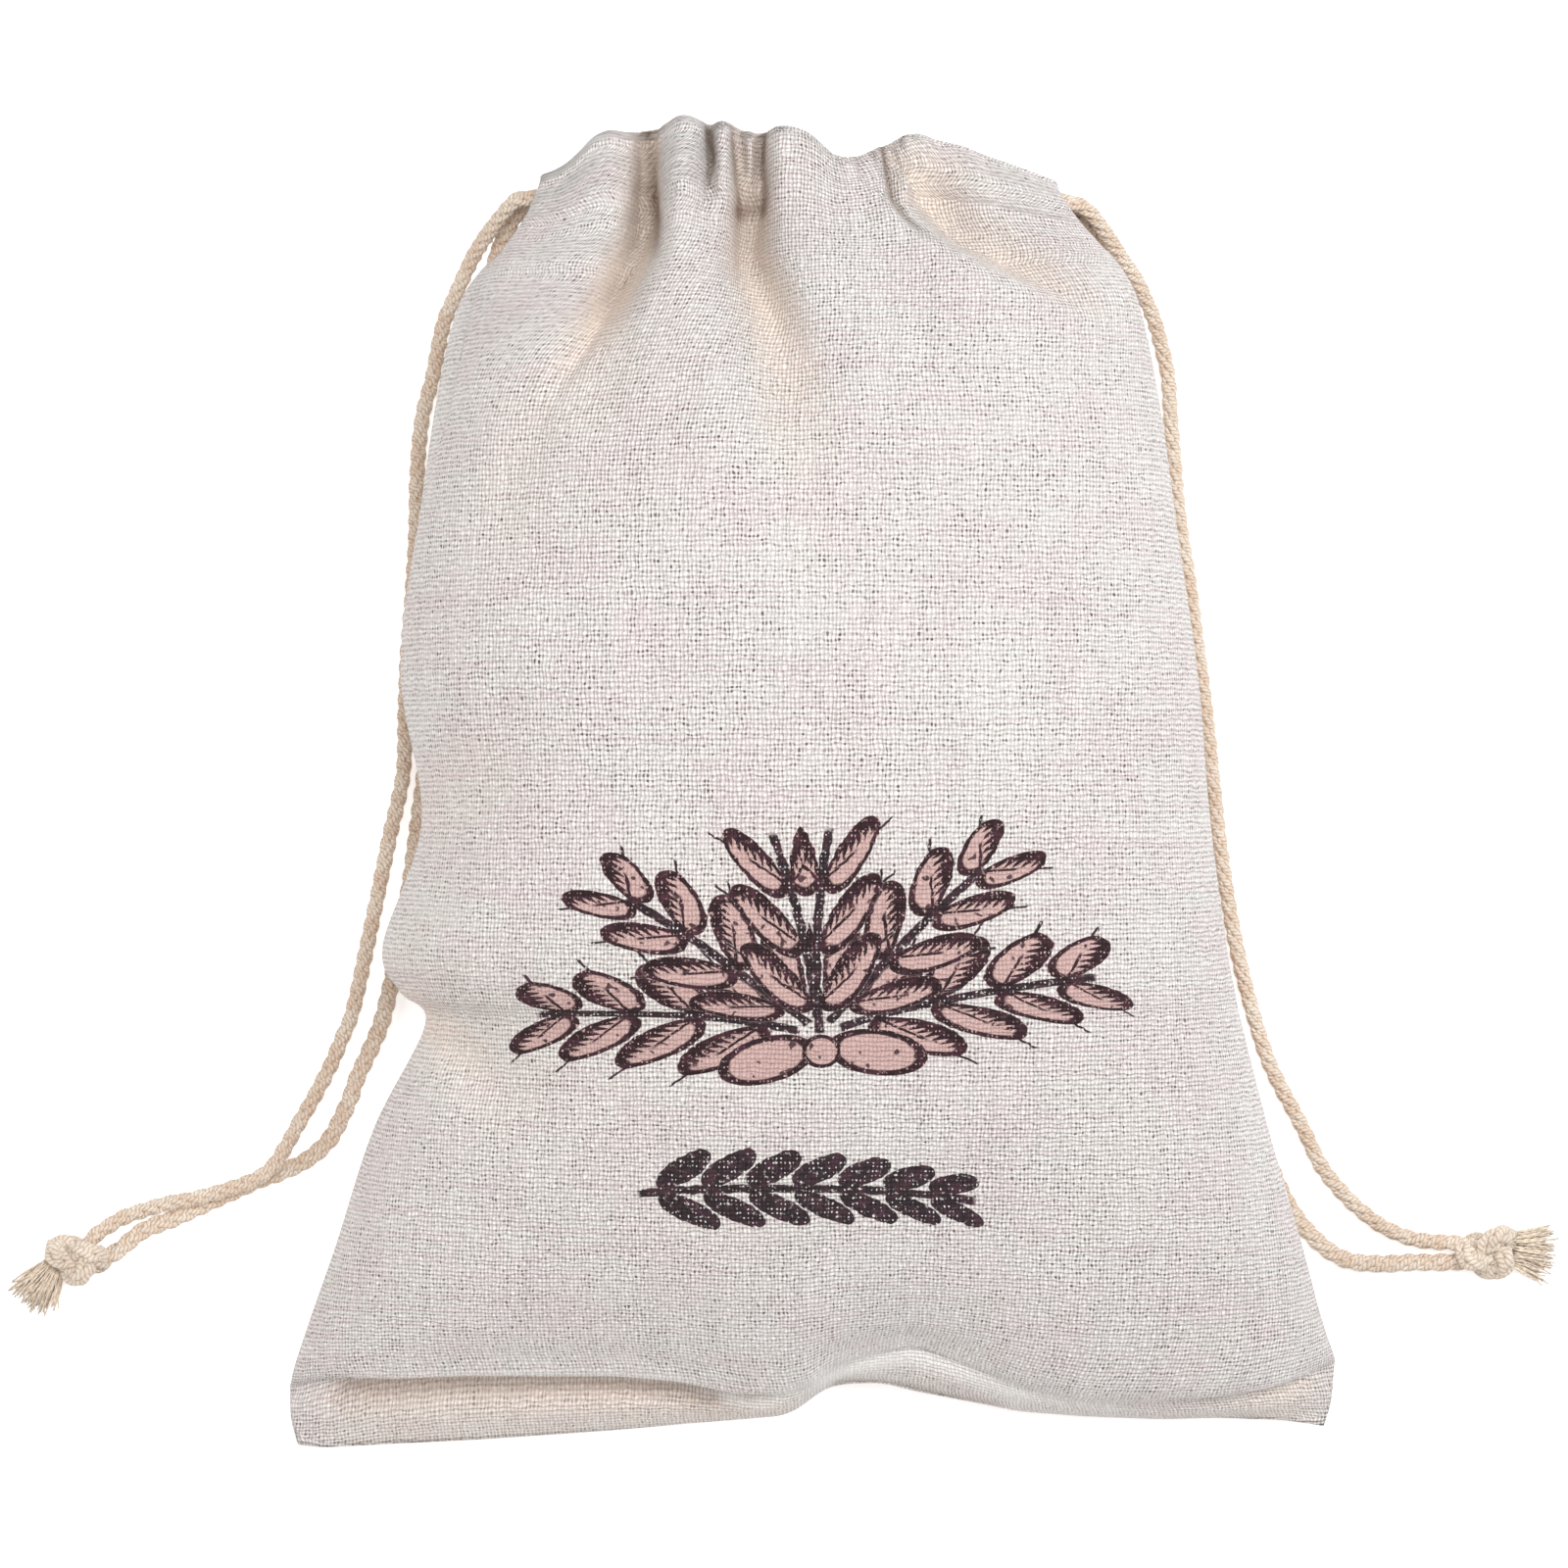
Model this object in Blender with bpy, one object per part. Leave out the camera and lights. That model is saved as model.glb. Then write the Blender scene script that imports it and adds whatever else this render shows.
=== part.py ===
"""Linen drawstring bread bag, lying on its back: two sewn cloth panels with gathered
casings at the mouth, two drawcords whose ends come out at the sides, and their knots.

Frame: metres, +Z up, the bag rests on z = 0. +Y runs from the sewn bottom to the mouth,
+X is the right-hand side seen from above, and the origin is under the middle of the bag."""

import math

import bmesh
import bpy
import numpy as np
from mathutils import Matrix, Vector

# ---- driving dimensions (m) ----
SHEET = 0.0012           # thickness of the linen as built
SEAM_GAP = 0.0003        # clearance between the panels along their seams, and at cord ends
FRONT_CORD = 0.0024      # radius of the cord of the front casing, seen on its narrow side
BACK_CORD = 0.0027       # radius of the cord of the back casing, seen on its broad side
CORD_STEP = 0.012        # spacing of points along a cord
CORD_LEAD = 0.004        # the first, shorter step, out of the casing
CORD_SIDES = 2           # bevel resolution of a cord: 8 sides
CASING_COVER = 0.0030    # least depth of a casing: its layers with a cord inside
MOUTH_RISE = 0.0060      # half of the slit left open in the middle of the mouth
RIM_ROUND = 0.0012       # how far the inner edge of the mouth rim is eased back
FRONT_COLUMNS = 40
BACK_COLUMNS = 28
SECTION_SAMPLES = 400    # points across a section before even columns are picked
FRONT_SHAPE = (0.4, 0.55)    # fullness and steepness of the front's cross-section
BACK_SHAPE = (1.2, 0.69)     # the same for the back, which lies flat on the ground
SEAM_GUARD = 8           # power with which the folds die out towards the side seams
FOLD_FADE = 1.5          # power with which a fold changes along its line
STEEP = 0.7              # slope past which a sheet's cut edge is no longer widened

# ---- cross-sections of the bag, from the bottom seam up to the mouth ----
# y: place along the bag. left, right: the side seams. side: height of the side seams.
# front, back: heights of the two panels at their middle. round: 0 for a flat arc,
# 1 for a full side wall. seam, tuck, top: how far the row follows those wavy edges.
# bulge: how far the back panel swells past the left seam. rows: grid rows to the next.
SECTIONS = (
    # name     y       left    right   side   front   back   round seam  tuck  top bulge rows
    ("seam", -0.1800, -0.1490, 0.1478, 0.0080, 0.0200, 0.0200, 0.00, 1.0, 0.00, 0.0, 0.0, 1),
    ("strip", -0.1740, -0.1510, 0.1500, 0.0085, 0.0290, 0.0105, 0.70, 0.5, 0.50, 0.0, 0.0, 1),
    ("tuck", -0.1668, -0.1513, 0.1508, 0.0098, 0.0350, 0.0075, 0.80, 0.0, 1.00, 0.0, 0.0, 1),
    ("lip", -0.1645, -0.1508, 0.1508, 0.0110, 0.0400, 0.0065, 0.90, 0.0, 1.00, 0.0, 0.0, 1),
    ("brow", -0.1605, -0.1496, 0.1494, 0.0130, 0.0465, 0.0045, 1.00, 0.0, 0.90, 0.0, 0.0, 1),
    ("foot", -0.1500, -0.1450, 0.1460, 0.0170, 0.0570, 0.0000, 1.00, 0.0, 0.45, 0.0, 0.0, 1),
    ("belly", -0.1290, -0.1367, 0.1398, 0.0245, 0.0720, -0.0040, 1.00, 0.0, 0.12, 0.0, 0.0, 2),
    ("print", -0.0940, -0.1246, 0.1288, 0.0340, 0.0890, -0.0060, 1.00, 0.0, 0.00, 0.0, 0.0, 2),
    ("dent", -0.0640, -0.1095, 0.1206, 0.0400, 0.0990, -0.0060, 1.00, 0.0, 0.00, 0.0, 0.0, 1),
    ("fold", -0.0550, -0.1165, 0.1185, 0.0425, 0.1020, -0.0060, 1.00, 0.0, 0.00, 0.0, 0.0, 1),
    ("hip", -0.0420, -0.1210, 0.1158, 0.0460, 0.1055, -0.0060, 1.00, 0.0, 0.00, 0.0, 0.0, 2),
    ("waist", -0.0070, -0.1096, 0.1106, 0.0520, 0.1130, -0.0060, 1.00, 0.0, 0.00, 0.0, 0.0, 2),
    ("crown", 0.0330, -0.1150, 0.1068, 0.0560, 0.1170, -0.0060, 1.00, 0.0, 0.00, 0.0, 0.0, 2),
    ("chest", 0.0715, -0.1106, 0.1010, 0.0600, 0.1150, -0.0060, 1.00, 0.0, 0.00, 0.0, 0.002, 2),
    ("yoke", 0.1060, -0.1012, 0.0961, 0.0630, 0.1060, -0.0030, 1.00, 0.0, 0.00, 0.0, 0.008, 2),
    ("neck", 0.1350, -0.0950, 0.0907, 0.0600, 0.0930, 0.0080, 1.00, 0.0, 0.00, 0.0, 0.008, 1),
    ("throat", 0.1470, -0.0900, 0.0855, 0.0570, 0.0850, 0.0150, 1.00, 0.0, 0.00, 0.0, 0.006, 1),
    ("sewn", 0.1580, -0.0848, 0.0794, 0.0520, 0.0765, 0.0250, 1.15, 0.0, 0.00, 0.3, 0.001, 1),
    ("casing", 0.1700, -0.0798, 0.0735, 0.0480, 0.0705, 0.0300, 1.30, 0.0, 0.00, 0.7, 0.0, 1),
    ("rim", 0.1800, -0.0770, 0.0690, 0.0480, 0.0680, 0.0320, 1.30, 0.0, 0.00, 1.0, 0.0, 1),
    ("top", 0.1830, -0.0762, 0.0678, 0.0480, 0.0640, 0.0360, 1.30, 0.0, 0.00, 1.0, 0.0, 0),
)
SECTION_NAMES = [row[0] for row in SECTIONS]
FIELDS = ("y", "left", "right", "side", "front", "back", "round", "seam", "tuck", "top",
          "bulge")
FIRST_CASING_ROW = SECTION_NAMES.index("sewn")

# ---- wavy edges: the sewn bottom with the crease above it, and the gathered mouth ----
BOTTOM_EDGE = (
    # x      seam y   crease y  crease  shelf
    (-0.150, -0.1878, -0.1730, 0.0, 0.0),
    (-0.142, -0.1886, -0.1702, 0.3, 0.0),
    (-0.128, -0.1876, -0.1680, 1.0, 0.0),
    (-0.098, -0.1857, -0.1659, 1.0, 0.0),
    (-0.055, -0.1822, -0.1656, 1.0, 0.0),
    (-0.037, -0.1804, -0.1673, 0.9, 0.0),
    (-0.021, -0.1791, -0.1712, 0.7, 0.0),
    (-0.008, -0.1780, -0.1715, 0.4, 0.0),
    (-0.002, -0.1745, -0.1690, 0.3, 0.0),
    (0.003, -0.1701, -0.1650, 0.2, 0.1),
    (0.009, -0.1688, -0.1618, 0.2, 0.3),
    (0.020, -0.1686, -0.1570, 0.2, 0.8),
    (0.028, -0.1708, -0.1545, 0.2, 1.0),
    (0.039, -0.1729, -0.1590, 0.2, 1.0),
    (0.059, -0.1770, -0.1695, 0.1, 0.4),
    (0.077, -0.1786, -0.1742, 0.1, 0.0),
    (0.100, -0.1798, -0.1745, 0.1, 0.0),
    (0.119, -0.1796, -0.1735, 0.4, 0.0),
    (0.137, -0.1805, -0.1700, 0.8, 0.0),
    (0.150, -0.1830, -0.1660, 0.0, 0.0),
)
# how the crease moves each row near it: forward (y) and up (z), and up on the shelf
CREASE_MOVES = (
    # section   y        z       shelf z
    ("strip",  0.0000, 0.0000, 0.0050),
    ("tuck",   0.0028, -0.0045, 0.0030),
    ("lip",   -0.0024, 0.0000, 0.0000),
)
MOUTH_EDGE = (
    # x      y
    (-0.0780, 0.1712),
    (-0.0720, 0.1720),
    (-0.0667, 0.1757),
    (-0.0602, 0.1828),
    (-0.0569, 0.1840),
    (-0.0530, 0.1824),
    (-0.0465, 0.1841),
    (-0.0430, 0.1838),
    (-0.0370, 0.1870),
    (-0.0275, 0.1847),
    (-0.0242, 0.1860),
    (-0.0177, 0.1822),
    (-0.0079, 0.1841),
    (-0.0013, 0.1820),
    (0.0052, 0.1749),
    (0.0118, 0.1750),
    (0.0183, 0.1786),
    (0.0281, 0.1830),
    (0.0347, 0.1799),
    (0.0400, 0.1795),
    (0.0477, 0.1763),
    (0.0641, 0.1705),
    (0.0720, 0.1683),
)
SEAM_LEVEL = -0.1800     # mean y of the sewn bottom
TUCK_LEVEL = -0.1680     # mean y of the crease above it
MOUTH_LEVEL = 0.1815     # mean y of the mouth's edge
EDGE_SOFTNESS = 0.003    # length over which a wavy edge turns

# ---- folds: name, points of the line it follows (x, y), then its height (below zero for
# a trough) and its half-width on the left and the right of the line at each end ----
FRONT_FOLDS = (
    ("left valley", ((-0.0455, 0.188), (-0.0460, 0.166), (-0.0475, 0.154), (-0.0535, 0.138),
                     (-0.0605, 0.119), (-0.0720, 0.100)), -0.0175, 0.000, 0.0042, 0.0026, 0.013),
    ("left ridge", ((-0.0365, 0.190), (-0.0365, 0.165), (-0.034, 0.138), (-0.027, 0.111),
                    (-0.019, 0.074)), 0.0075, 0.0000, 0.0048, 0.0048, 0.015),
    ("slit", ((-0.0290, 0.190), (-0.0290, 0.172), (-0.0285, 0.160)),
     -0.0080, -0.0010, 0.0016, 0.0016, 0.003),
    ("thin ridge", ((-0.0250, 0.190), (-0.0248, 0.168), (-0.0245, 0.140)),
     0.0045, 0.0000, 0.0026, 0.0024, 0.006),
    ("pocket", ((-0.0175, 0.188), (-0.0175, 0.160), (-0.0180, 0.148), (-0.0125, 0.134),
                (-0.0075, 0.115), (-0.0085, 0.080)), -0.0170, 0.0000, 0.0044, 0.0040, 0.015),
    ("broad ridge", ((0.002, 0.188), (0.008, 0.138), (0.020, 0.104)),
     0.0060, 0.0000, 0.0100, 0.0130, 0.022),
    ("first pleat", ((0.0125, 0.186), (0.0135, 0.168), (0.017, 0.157)),
     -0.0045, 0.0000, 0.0020, 0.0020, 0.004),
    ("second pleat", ((0.0200, 0.188), (0.0225, 0.168), (0.0265, 0.158)),
     -0.0060, -0.0040, 0.0018, 0.0020, 0.004),
    ("shoulder hollow", ((0.029, 0.166), (0.038, 0.1540), (0.050, 0.1460), (0.064, 0.1385),
                         (0.080, 0.1310)), -0.0105, 0.0000, 0.0030, 0.0110, 0.009),
    ("shoulder edge", ((0.024, 0.160), (0.040, 0.1455), (0.056, 0.1365), (0.072, 0.1290)),
     0.0040, 0.0000, 0.0090, 0.0030, 0.008),
    ("hip pucker", ((-0.112, -0.059), (-0.0935, -0.0735), (-0.0740, -0.0920)),
     -0.0060, 0.0000, 0.0070, 0.0070, 0.014),
    ("waist pucker", ((-0.112, -0.004), (-0.090, 0.004), (-0.070, 0.018)),
     -0.0030, 0.0000, 0.0080, 0.0080, 0.012),
)
BACK_FOLDS = (
    ("back pleat 1", ((-0.052, 0.188), (-0.052, 0.158), (-0.064, 0.120)),
     -0.0060, 0.0000, 0.0040, 0.0040, 0.014),
    ("back pleat 2", ((-0.034, 0.188), (-0.034, 0.158), (-0.040, 0.124)),
     0.0045, 0.0000, 0.0045, 0.0045, 0.012),
    ("back pleat 3", ((-0.018, 0.188), (-0.018, 0.158), (-0.018, 0.112)),
     -0.0080, 0.0000, 0.0042, 0.0042, 0.014),
    ("back pleat 4", ((0.000, 0.188), (0.001, 0.158), (0.004, 0.124)),
     0.0050, 0.0000, 0.0050, 0.0050, 0.012),
    ("back pleat 5", ((0.017, 0.188), (0.018, 0.158), (0.026, 0.114)),
     -0.0070, 0.0000, 0.0042, 0.0042, 0.013),
    ("back pleat 6", ((0.034, 0.188), (0.037, 0.158), (0.050, 0.124)),
     0.0040, 0.0000, 0.0048, 0.0048, 0.013),
    ("back pleat 7", ((0.048, 0.188), (0.053, 0.158), (0.068, 0.124)),
     -0.0050, 0.0000, 0.0040, 0.0040, 0.012),
)

# ---- routes of the four visible cord strands, from the casing to the knot ----
FRONT_FLOOR = FRONT_CORD + 0.0003
BACK_FLOOR = BACK_CORD + 0.0003
LEFT_FRONT_ROUTE = (
    (-0.0797, 0.1672, 0.0520), (-0.0836, 0.1666, 0.0508), (-0.0893, 0.1616, 0.0430),
    (-0.0936, 0.1574, 0.0352), (-0.0981, 0.1520, 0.0260), (-0.1036, 0.1424, 0.0165),
    (-0.1070, 0.1355, 0.0105), (-0.1104, 0.1218, 0.0045), (-0.1138, 0.1088, FRONT_FLOOR),
    (-0.1152, 0.0917, FRONT_FLOOR), (-0.1156, 0.0746, FRONT_FLOOR),
    (-0.1166, 0.0575, FRONT_FLOOR), (-0.1180, 0.0404, FRONT_FLOOR),
    (-0.1186, 0.0233, FRONT_FLOOR), (-0.1192, 0.0062, FRONT_FLOOR),
    (-0.1229, -0.0110, FRONT_FLOOR), (-0.1264, -0.0281, FRONT_FLOOR),
    (-0.1300, -0.0452, FRONT_FLOOR), (-0.1337, -0.0623, FRONT_FLOOR),
    (-0.1370, -0.0708, FRONT_FLOOR), (-0.1407, -0.0794, FRONT_FLOOR),
    (-0.1452, -0.0879, FRONT_FLOOR), (-0.1501, -0.0965, 0.0036),
    (-0.1529, -0.1018, 0.0056), (-0.1566, -0.1076, 0.0079), (-0.1618, -0.1113, 0.0087),
    (-0.1686, -0.1138, 0.0084), (-0.1749, -0.1157, 0.0081), (-0.1797, -0.1170, 0.0078),
    (-0.1846, -0.1178, 0.0067), (-0.1908, -0.1194, 0.0052), (-0.1994, -0.1222, 0.0045),
    (-0.2045, -0.1250, 0.0048), (-0.2082, -0.1276, 0.0052),
)
LEFT_BACK_ROUTE = (
    (-0.0820, 0.1656, 0.0415), (-0.0856, 0.1624, 0.0375), (-0.0900, 0.1545, 0.0265),
    (-0.0938, 0.1440, 0.0165), (-0.0980, 0.1325, 0.0085), (-0.1030, 0.1145, 0.0040),
    (-0.1062, 0.0945, BACK_FLOOR),
    (-0.1080, 0.0717, BACK_FLOOR), (-0.1088, 0.0461, BACK_FLOOR),
    (-0.1100, 0.0254, BACK_FLOOR), (-0.1126, 0.0080, BACK_FLOOR),
    (-0.1147, -0.0081, BACK_FLOOR), (-0.1170, -0.0246, BACK_FLOOR),
    (-0.1197, -0.0400, BACK_FLOOR), (-0.1229, -0.0560, BACK_FLOOR),
    (-0.1261, -0.0680, BACK_FLOOR), (-0.1323, -0.0816, BACK_FLOOR),
    (-0.1352, -0.0896, BACK_FLOOR), (-0.1407, -0.1002, BACK_FLOOR),
    (-0.1475, -0.1062, BACK_FLOOR), (-0.1546, -0.1096, BACK_FLOOR),
    (-0.1609, -0.1118, BACK_FLOOR), (-0.1695, -0.1157, BACK_FLOOR),
    (-0.1780, -0.1195, BACK_FLOOR), (-0.1866, -0.1234, BACK_FLOOR),
    (-0.1951, -0.1268, BACK_FLOOR), (-0.2026, -0.1328, 0.0044),
)
RIGHT_FRONT_ROUTE = (
    (0.0730, 0.1656, 0.0522), (0.0766, 0.1640, 0.0502), (0.0800, 0.1608, 0.0456),
    (0.0840, 0.1569, 0.0380), (0.0880, 0.1525, 0.0302), (0.0922, 0.1480, 0.0230),
    (0.0958, 0.1423, 0.0160), (0.0987, 0.1370, 0.0105), (0.1012, 0.1300, 0.0055),
    (0.1032, 0.1220, 0.0035), (0.1041, 0.1100, FRONT_FLOOR), (0.1051, 0.0965, FRONT_FLOOR),
    (0.1065, 0.0811, FRONT_FLOOR), (0.1096, 0.0603, FRONT_FLOOR),
    (0.1126, 0.0375, FRONT_FLOOR), (0.1145, 0.0224, FRONT_FLOOR),
    (0.1165, 0.0033, FRONT_FLOOR), (0.1187, -0.0167, FRONT_FLOOR),
    (0.1229, -0.0423, FRONT_FLOOR), (0.1280, -0.0632, FRONT_FLOOR),
    (0.1335, -0.0794, FRONT_FLOOR), (0.1424, -0.0965, FRONT_FLOOR),
    (0.1480, -0.1079, FRONT_FLOOR), (0.1555, -0.1170, FRONT_FLOOR),
    (0.1641, -0.1243, FRONT_FLOOR), (0.1726, -0.1284, 0.0032), (0.1800, -0.1296, 0.0046),
    (0.1858, -0.1298, 0.0053),
)
RIGHT_BACK_ROUTE = (
    (0.0752, 0.1632, 0.0415), (0.0790, 0.1602, 0.0360), (0.0828, 0.1525, 0.0240),
    (0.0866, 0.1425, 0.0140), (0.0902, 0.1305, 0.0070), (0.0930, 0.1165, 0.0042),
    (0.0958, 0.0945, BACK_FLOOR),
    (0.0990, 0.0717, BACK_FLOOR), (0.1036, 0.0375, BACK_FLOOR), (0.1078, 0.0090, BACK_FLOOR),
    (0.1122, -0.0195, BACK_FLOOR), (0.1178, -0.0480, BACK_FLOOR),
    (0.1240, -0.0765, BACK_FLOOR), (0.1287, -0.0965, BACK_FLOOR),
    (0.1345, -0.1112, BACK_FLOOR), (0.1393, -0.1207, BACK_FLOOR),
    (0.1464, -0.1293, BACK_FLOOR), (0.1544, -0.1348, BACK_FLOOR),
    (0.1640, -0.1362, BACK_FLOOR), (0.1750, -0.1358, BACK_FLOOR), (0.1854, -0.1356, 0.0042),
)
STRANDS = (
    # name              route              radius
    ("cord_left_front", LEFT_FRONT_ROUTE, FRONT_CORD),
    ("cord_left_back", LEFT_BACK_ROUTE, BACK_CORD),
    ("cord_right_front", RIGHT_FRONT_ROUTE, FRONT_CORD),
    ("cord_right_back", RIGHT_BACK_ROUTE, BACK_CORD),
)

# ---- knots, each tied with both cords of its side ----
KNOT_HEIGHT = 0.0125
KNOT_FLAT = 0.0006       # how deep the underside is pressed flat
KNOT_WRAPS = 3           # turns of cord that show round a knot
KNOT_PITCH = 0.8         # spacing of the turns along the knot
KNOT_SLANT = 0.5         # how far the turns slant across it
KNOT_RELIEF = 0.09       # how far a turn stands out, as a share of the knot's radius
KNOT_SEGMENTS = (22, 12)
KNOTS = (
    # side     x        y       turned  length  width: turned is in degrees from +X
    ("left", -0.2138, -0.1346, -14.0, 0.0205, 0.0145),
    ("right", 0.1962, -0.1326, 22.0, 0.0200, 0.0160),
)

# ---- frayed ends: a short stub of cord past the knot, whose end opens into locks ----
TAIL_SIDES = 12
TAIL_RADIUS = 0.5        # of the cone a stub is shaped from, before it is sized
TAIL_HEIGHT = 0.0064     # height of a stub
LOCK_TAPER = 0.8         # width of a lock's tip, as a share of its root
LOCK_SHORTEST = 0.75     # shortest lock, as a share of the longest
LOCK_TURNS = 4           # lengths of lock that follow one another
LOCK_STRIDE = 3          # how many lengths each lock is on from the last
LOCK_SPLAY = 1.5         # how far the locks at the sides turn outward
END_FACING = 0.9         # how squarely a face must look along the stub to be its end
TAILS = (
    # side     x        y       heads  root    fan     stub    locks: heads is in degrees
    ("left", -0.2228, -0.1385, 234.0, 0.0070, 0.0155, 0.0030, 0.0095),
    ("right", 0.2068, -0.1318, -9.0, 0.0125, 0.0168, 0.0015, 0.0080),
)

# ---- finishes: linear colour and roughness ----
FINISHES = {
    "linen": ((0.735, 0.705, 0.680), 0.92),
    "cotton_cord": ((0.640, 0.520, 0.420), 0.95),
}


def clear_scene():
    for old in list(bpy.data.objects):
        bpy.data.objects.remove(old, do_unlink=True)


def make_collection(name):
    group = bpy.data.collections.new(name)
    bpy.context.scene.collection.children.link(group)
    return group


def make_material(name):
    colour, roughness = FINISHES[name]
    material = bpy.data.materials.new(name)
    material.use_nodes = True
    shader = material.node_tree.nodes["Principled BSDF"]
    shader.inputs["Base Color"].default_value = (*colour, 1.0)
    shader.inputs["Roughness"].default_value = roughness
    shader.inputs["Metallic"].default_value = 0.0
    return material


def add_object(name, data, material, group):
    item = bpy.data.objects.new(name, data)
    item.data.materials.append(material)
    group.objects.link(item)
    return item


def smooth_curve(values, at):
    """Catmull-Rom reading of a list of numbers or points at a fractional index."""
    last = len(values) - 1
    i = min(int(math.floor(at)), last - 1)
    s = at - i
    a, b, c, d = (np.asarray(values[min(max(k, 0), last)], float) for k in range(i - 1, i + 3))
    return 0.5 * (2 * b + (c - a) * s + (2 * a - 5 * b + 4 * c - d) * s ** 2
                  + (3 * b - a - 3 * c + d) * s ** 3)


def edge_line(table, column, x):
    """A wavy edge's y at x, with its corners eased over EDGE_SOFTNESS."""
    xs = [row[0] for row in table]
    ys = [row[column] for row in table]
    shifts = np.linspace(-EDGE_SOFTNESS, EDGE_SOFTNESS, 5)
    return sum(np.interp(x + shift, xs, ys) for shift in shifts) / len(shifts)


def fold_height(folds, x, y):
    """Sum of the folds' heights at the points x, y, which are arrays."""
    total = np.zeros_like(x)
    for _, path, high_start, high_end, left, right, end_width in folds:
        best = np.full_like(x, np.inf)
        side = np.zeros_like(x)
        share = np.zeros_like(x)
        beyond = np.zeros_like(x)
        spans = [math.dist(a, b) for a, b in zip(path, path[1:])]
        done = 0.0
        for (ax, ay), (bx, by), span in zip(path, path[1:], spans):
            dx, dy = (bx - ax) / span, (by - ay) / span
            along = (x - ax) * dx + (y - ay) * dy
            held = np.clip(along, 0.0, span)
            away = np.hypot(x - ax - held * dx, y - ay - held * dy)
            nearer = away < best
            best = np.where(nearer, away, best)
            side = np.where(nearer, (x - ax) * dy - (y - ay) * dx, side)
            share = np.where(nearer, (done + held) / sum(spans), share)
            beyond = np.where(nearer, np.abs(along - held), beyond)
            done += span
        start_width = np.where(side > 0, left, right)
        width = start_width + (end_width - start_width) * share ** FOLD_FADE
        height = high_start + (high_end - high_start) * share ** FOLD_FADE
        total += height * np.exp(-(best / width) ** 2)
    return total


def section_at(place):
    """The section's named values at a fractional row of SECTIONS."""
    columns = {}
    for number, field in enumerate(FIELDS, start=1):
        columns[field] = float(smooth_curve([row[number] for row in SECTIONS], place))
    return columns


def grid_places():
    places = []
    for index, row in enumerate(SECTIONS):
        steps = row[-1]
        places += [index + step / steps for step in range(steps)]
    return places + [len(SECTIONS) - 1]


def swell(t, round_share, shape):
    """Height of a panel across its width: 0 at the seams, 1 in the middle."""
    fullness, steepness = shape
    power = 2.0 + fullness * round_share
    return np.clip(1.0 - np.abs(t) ** power, 0.0, 1.0) ** (1.0 - steepness * round_share)


def crease_moves(place):
    """How far the crease moves a row: forward, up, and up on the shelf."""
    moves = [(0.0, 0.0, 0.0)] * len(SECTIONS)
    for name, *amounts in CREASE_MOVES:
        moves[SECTION_NAMES.index(name)] = tuple(amounts)
    return smooth_curve(moves, place)


def casing_floor(section, t):
    """How far the inner face of a casing stands from the seam level."""
    return SEAM_GAP / 2 + MOUTH_RISE * (1.0 - t ** 2)


def outer_section(panel, place):
    """Dense points x, y, z and share t across one cross-section of a panel's outside."""
    section = section_at(place)
    t = np.sin(np.linspace(-math.pi / 2, math.pi / 2, SECTION_SAMPLES))
    middle = (section["left"] + section["right"]) / 2
    x = middle + t * (section["right"] - section["left"]) / 2
    y = np.full_like(x, section["y"])
    y += section["seam"] * (edge_line(BOTTOM_EDGE, 1, x) - SEAM_LEVEL)
    y += section["tuck"] * (edge_line(BOTTOM_EDGE, 2, x) - TUCK_LEVEL)
    y += section["top"] * (edge_line(MOUTH_EDGE, 1, x) - MOUTH_LEVEL)
    guard = 1.0 - np.abs(t) ** SEAM_GUARD
    if panel == "front":
        rise = swell(t, section["round"], FRONT_SHAPE)
        z = section["side"] + SEAM_GAP / 2 + (section["front"] - section["side"]) * rise
        forward, up, shelf = crease_moves(place)
        strength = edge_line(BOTTOM_EDGE, 3, x) * guard
        y += forward * strength
        z += up * strength + shelf * edge_line(BOTTOM_EDGE, 4, x) * guard
        z += fold_height(FRONT_FOLDS, x, y) * guard
        if place >= FIRST_CASING_ROW:
            least = section["side"] + casing_floor(section, t) + CASING_COVER * guard
            z = np.maximum(z, least)
    else:
        rise = swell(t, section["round"], BACK_SHAPE)
        z = section["side"] - SEAM_GAP / 2 + (section["back"] - section["side"]) * rise
        x -= np.where(t < 0.0, section["bulge"] * 4.0 * rise * (1.0 - rise), 0.0)
        z += fold_height(BACK_FOLDS, x, y) * guard
        if place >= FIRST_CASING_ROW:
            most = section["side"] - casing_floor(section, t) - CASING_COVER * guard
            z = np.minimum(z, most)
        z = np.maximum(z, 0.0)
    return section, t, np.stack([x, y, z], axis=1)


def even_columns(points, t, columns):
    """Pick columns + 1 points at even lengths of cloth along a cross-section."""
    steps = np.linalg.norm(np.diff(points, axis=0), axis=1)
    lengths = np.concatenate([[0.0], np.cumsum(steps)])
    wanted = np.linspace(0.0, lengths[-1], columns + 1)
    picked = np.stack([np.interp(wanted, lengths, points[:, k]) for k in range(3)], axis=1)
    return picked, np.interp(wanted, lengths, t)


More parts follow.
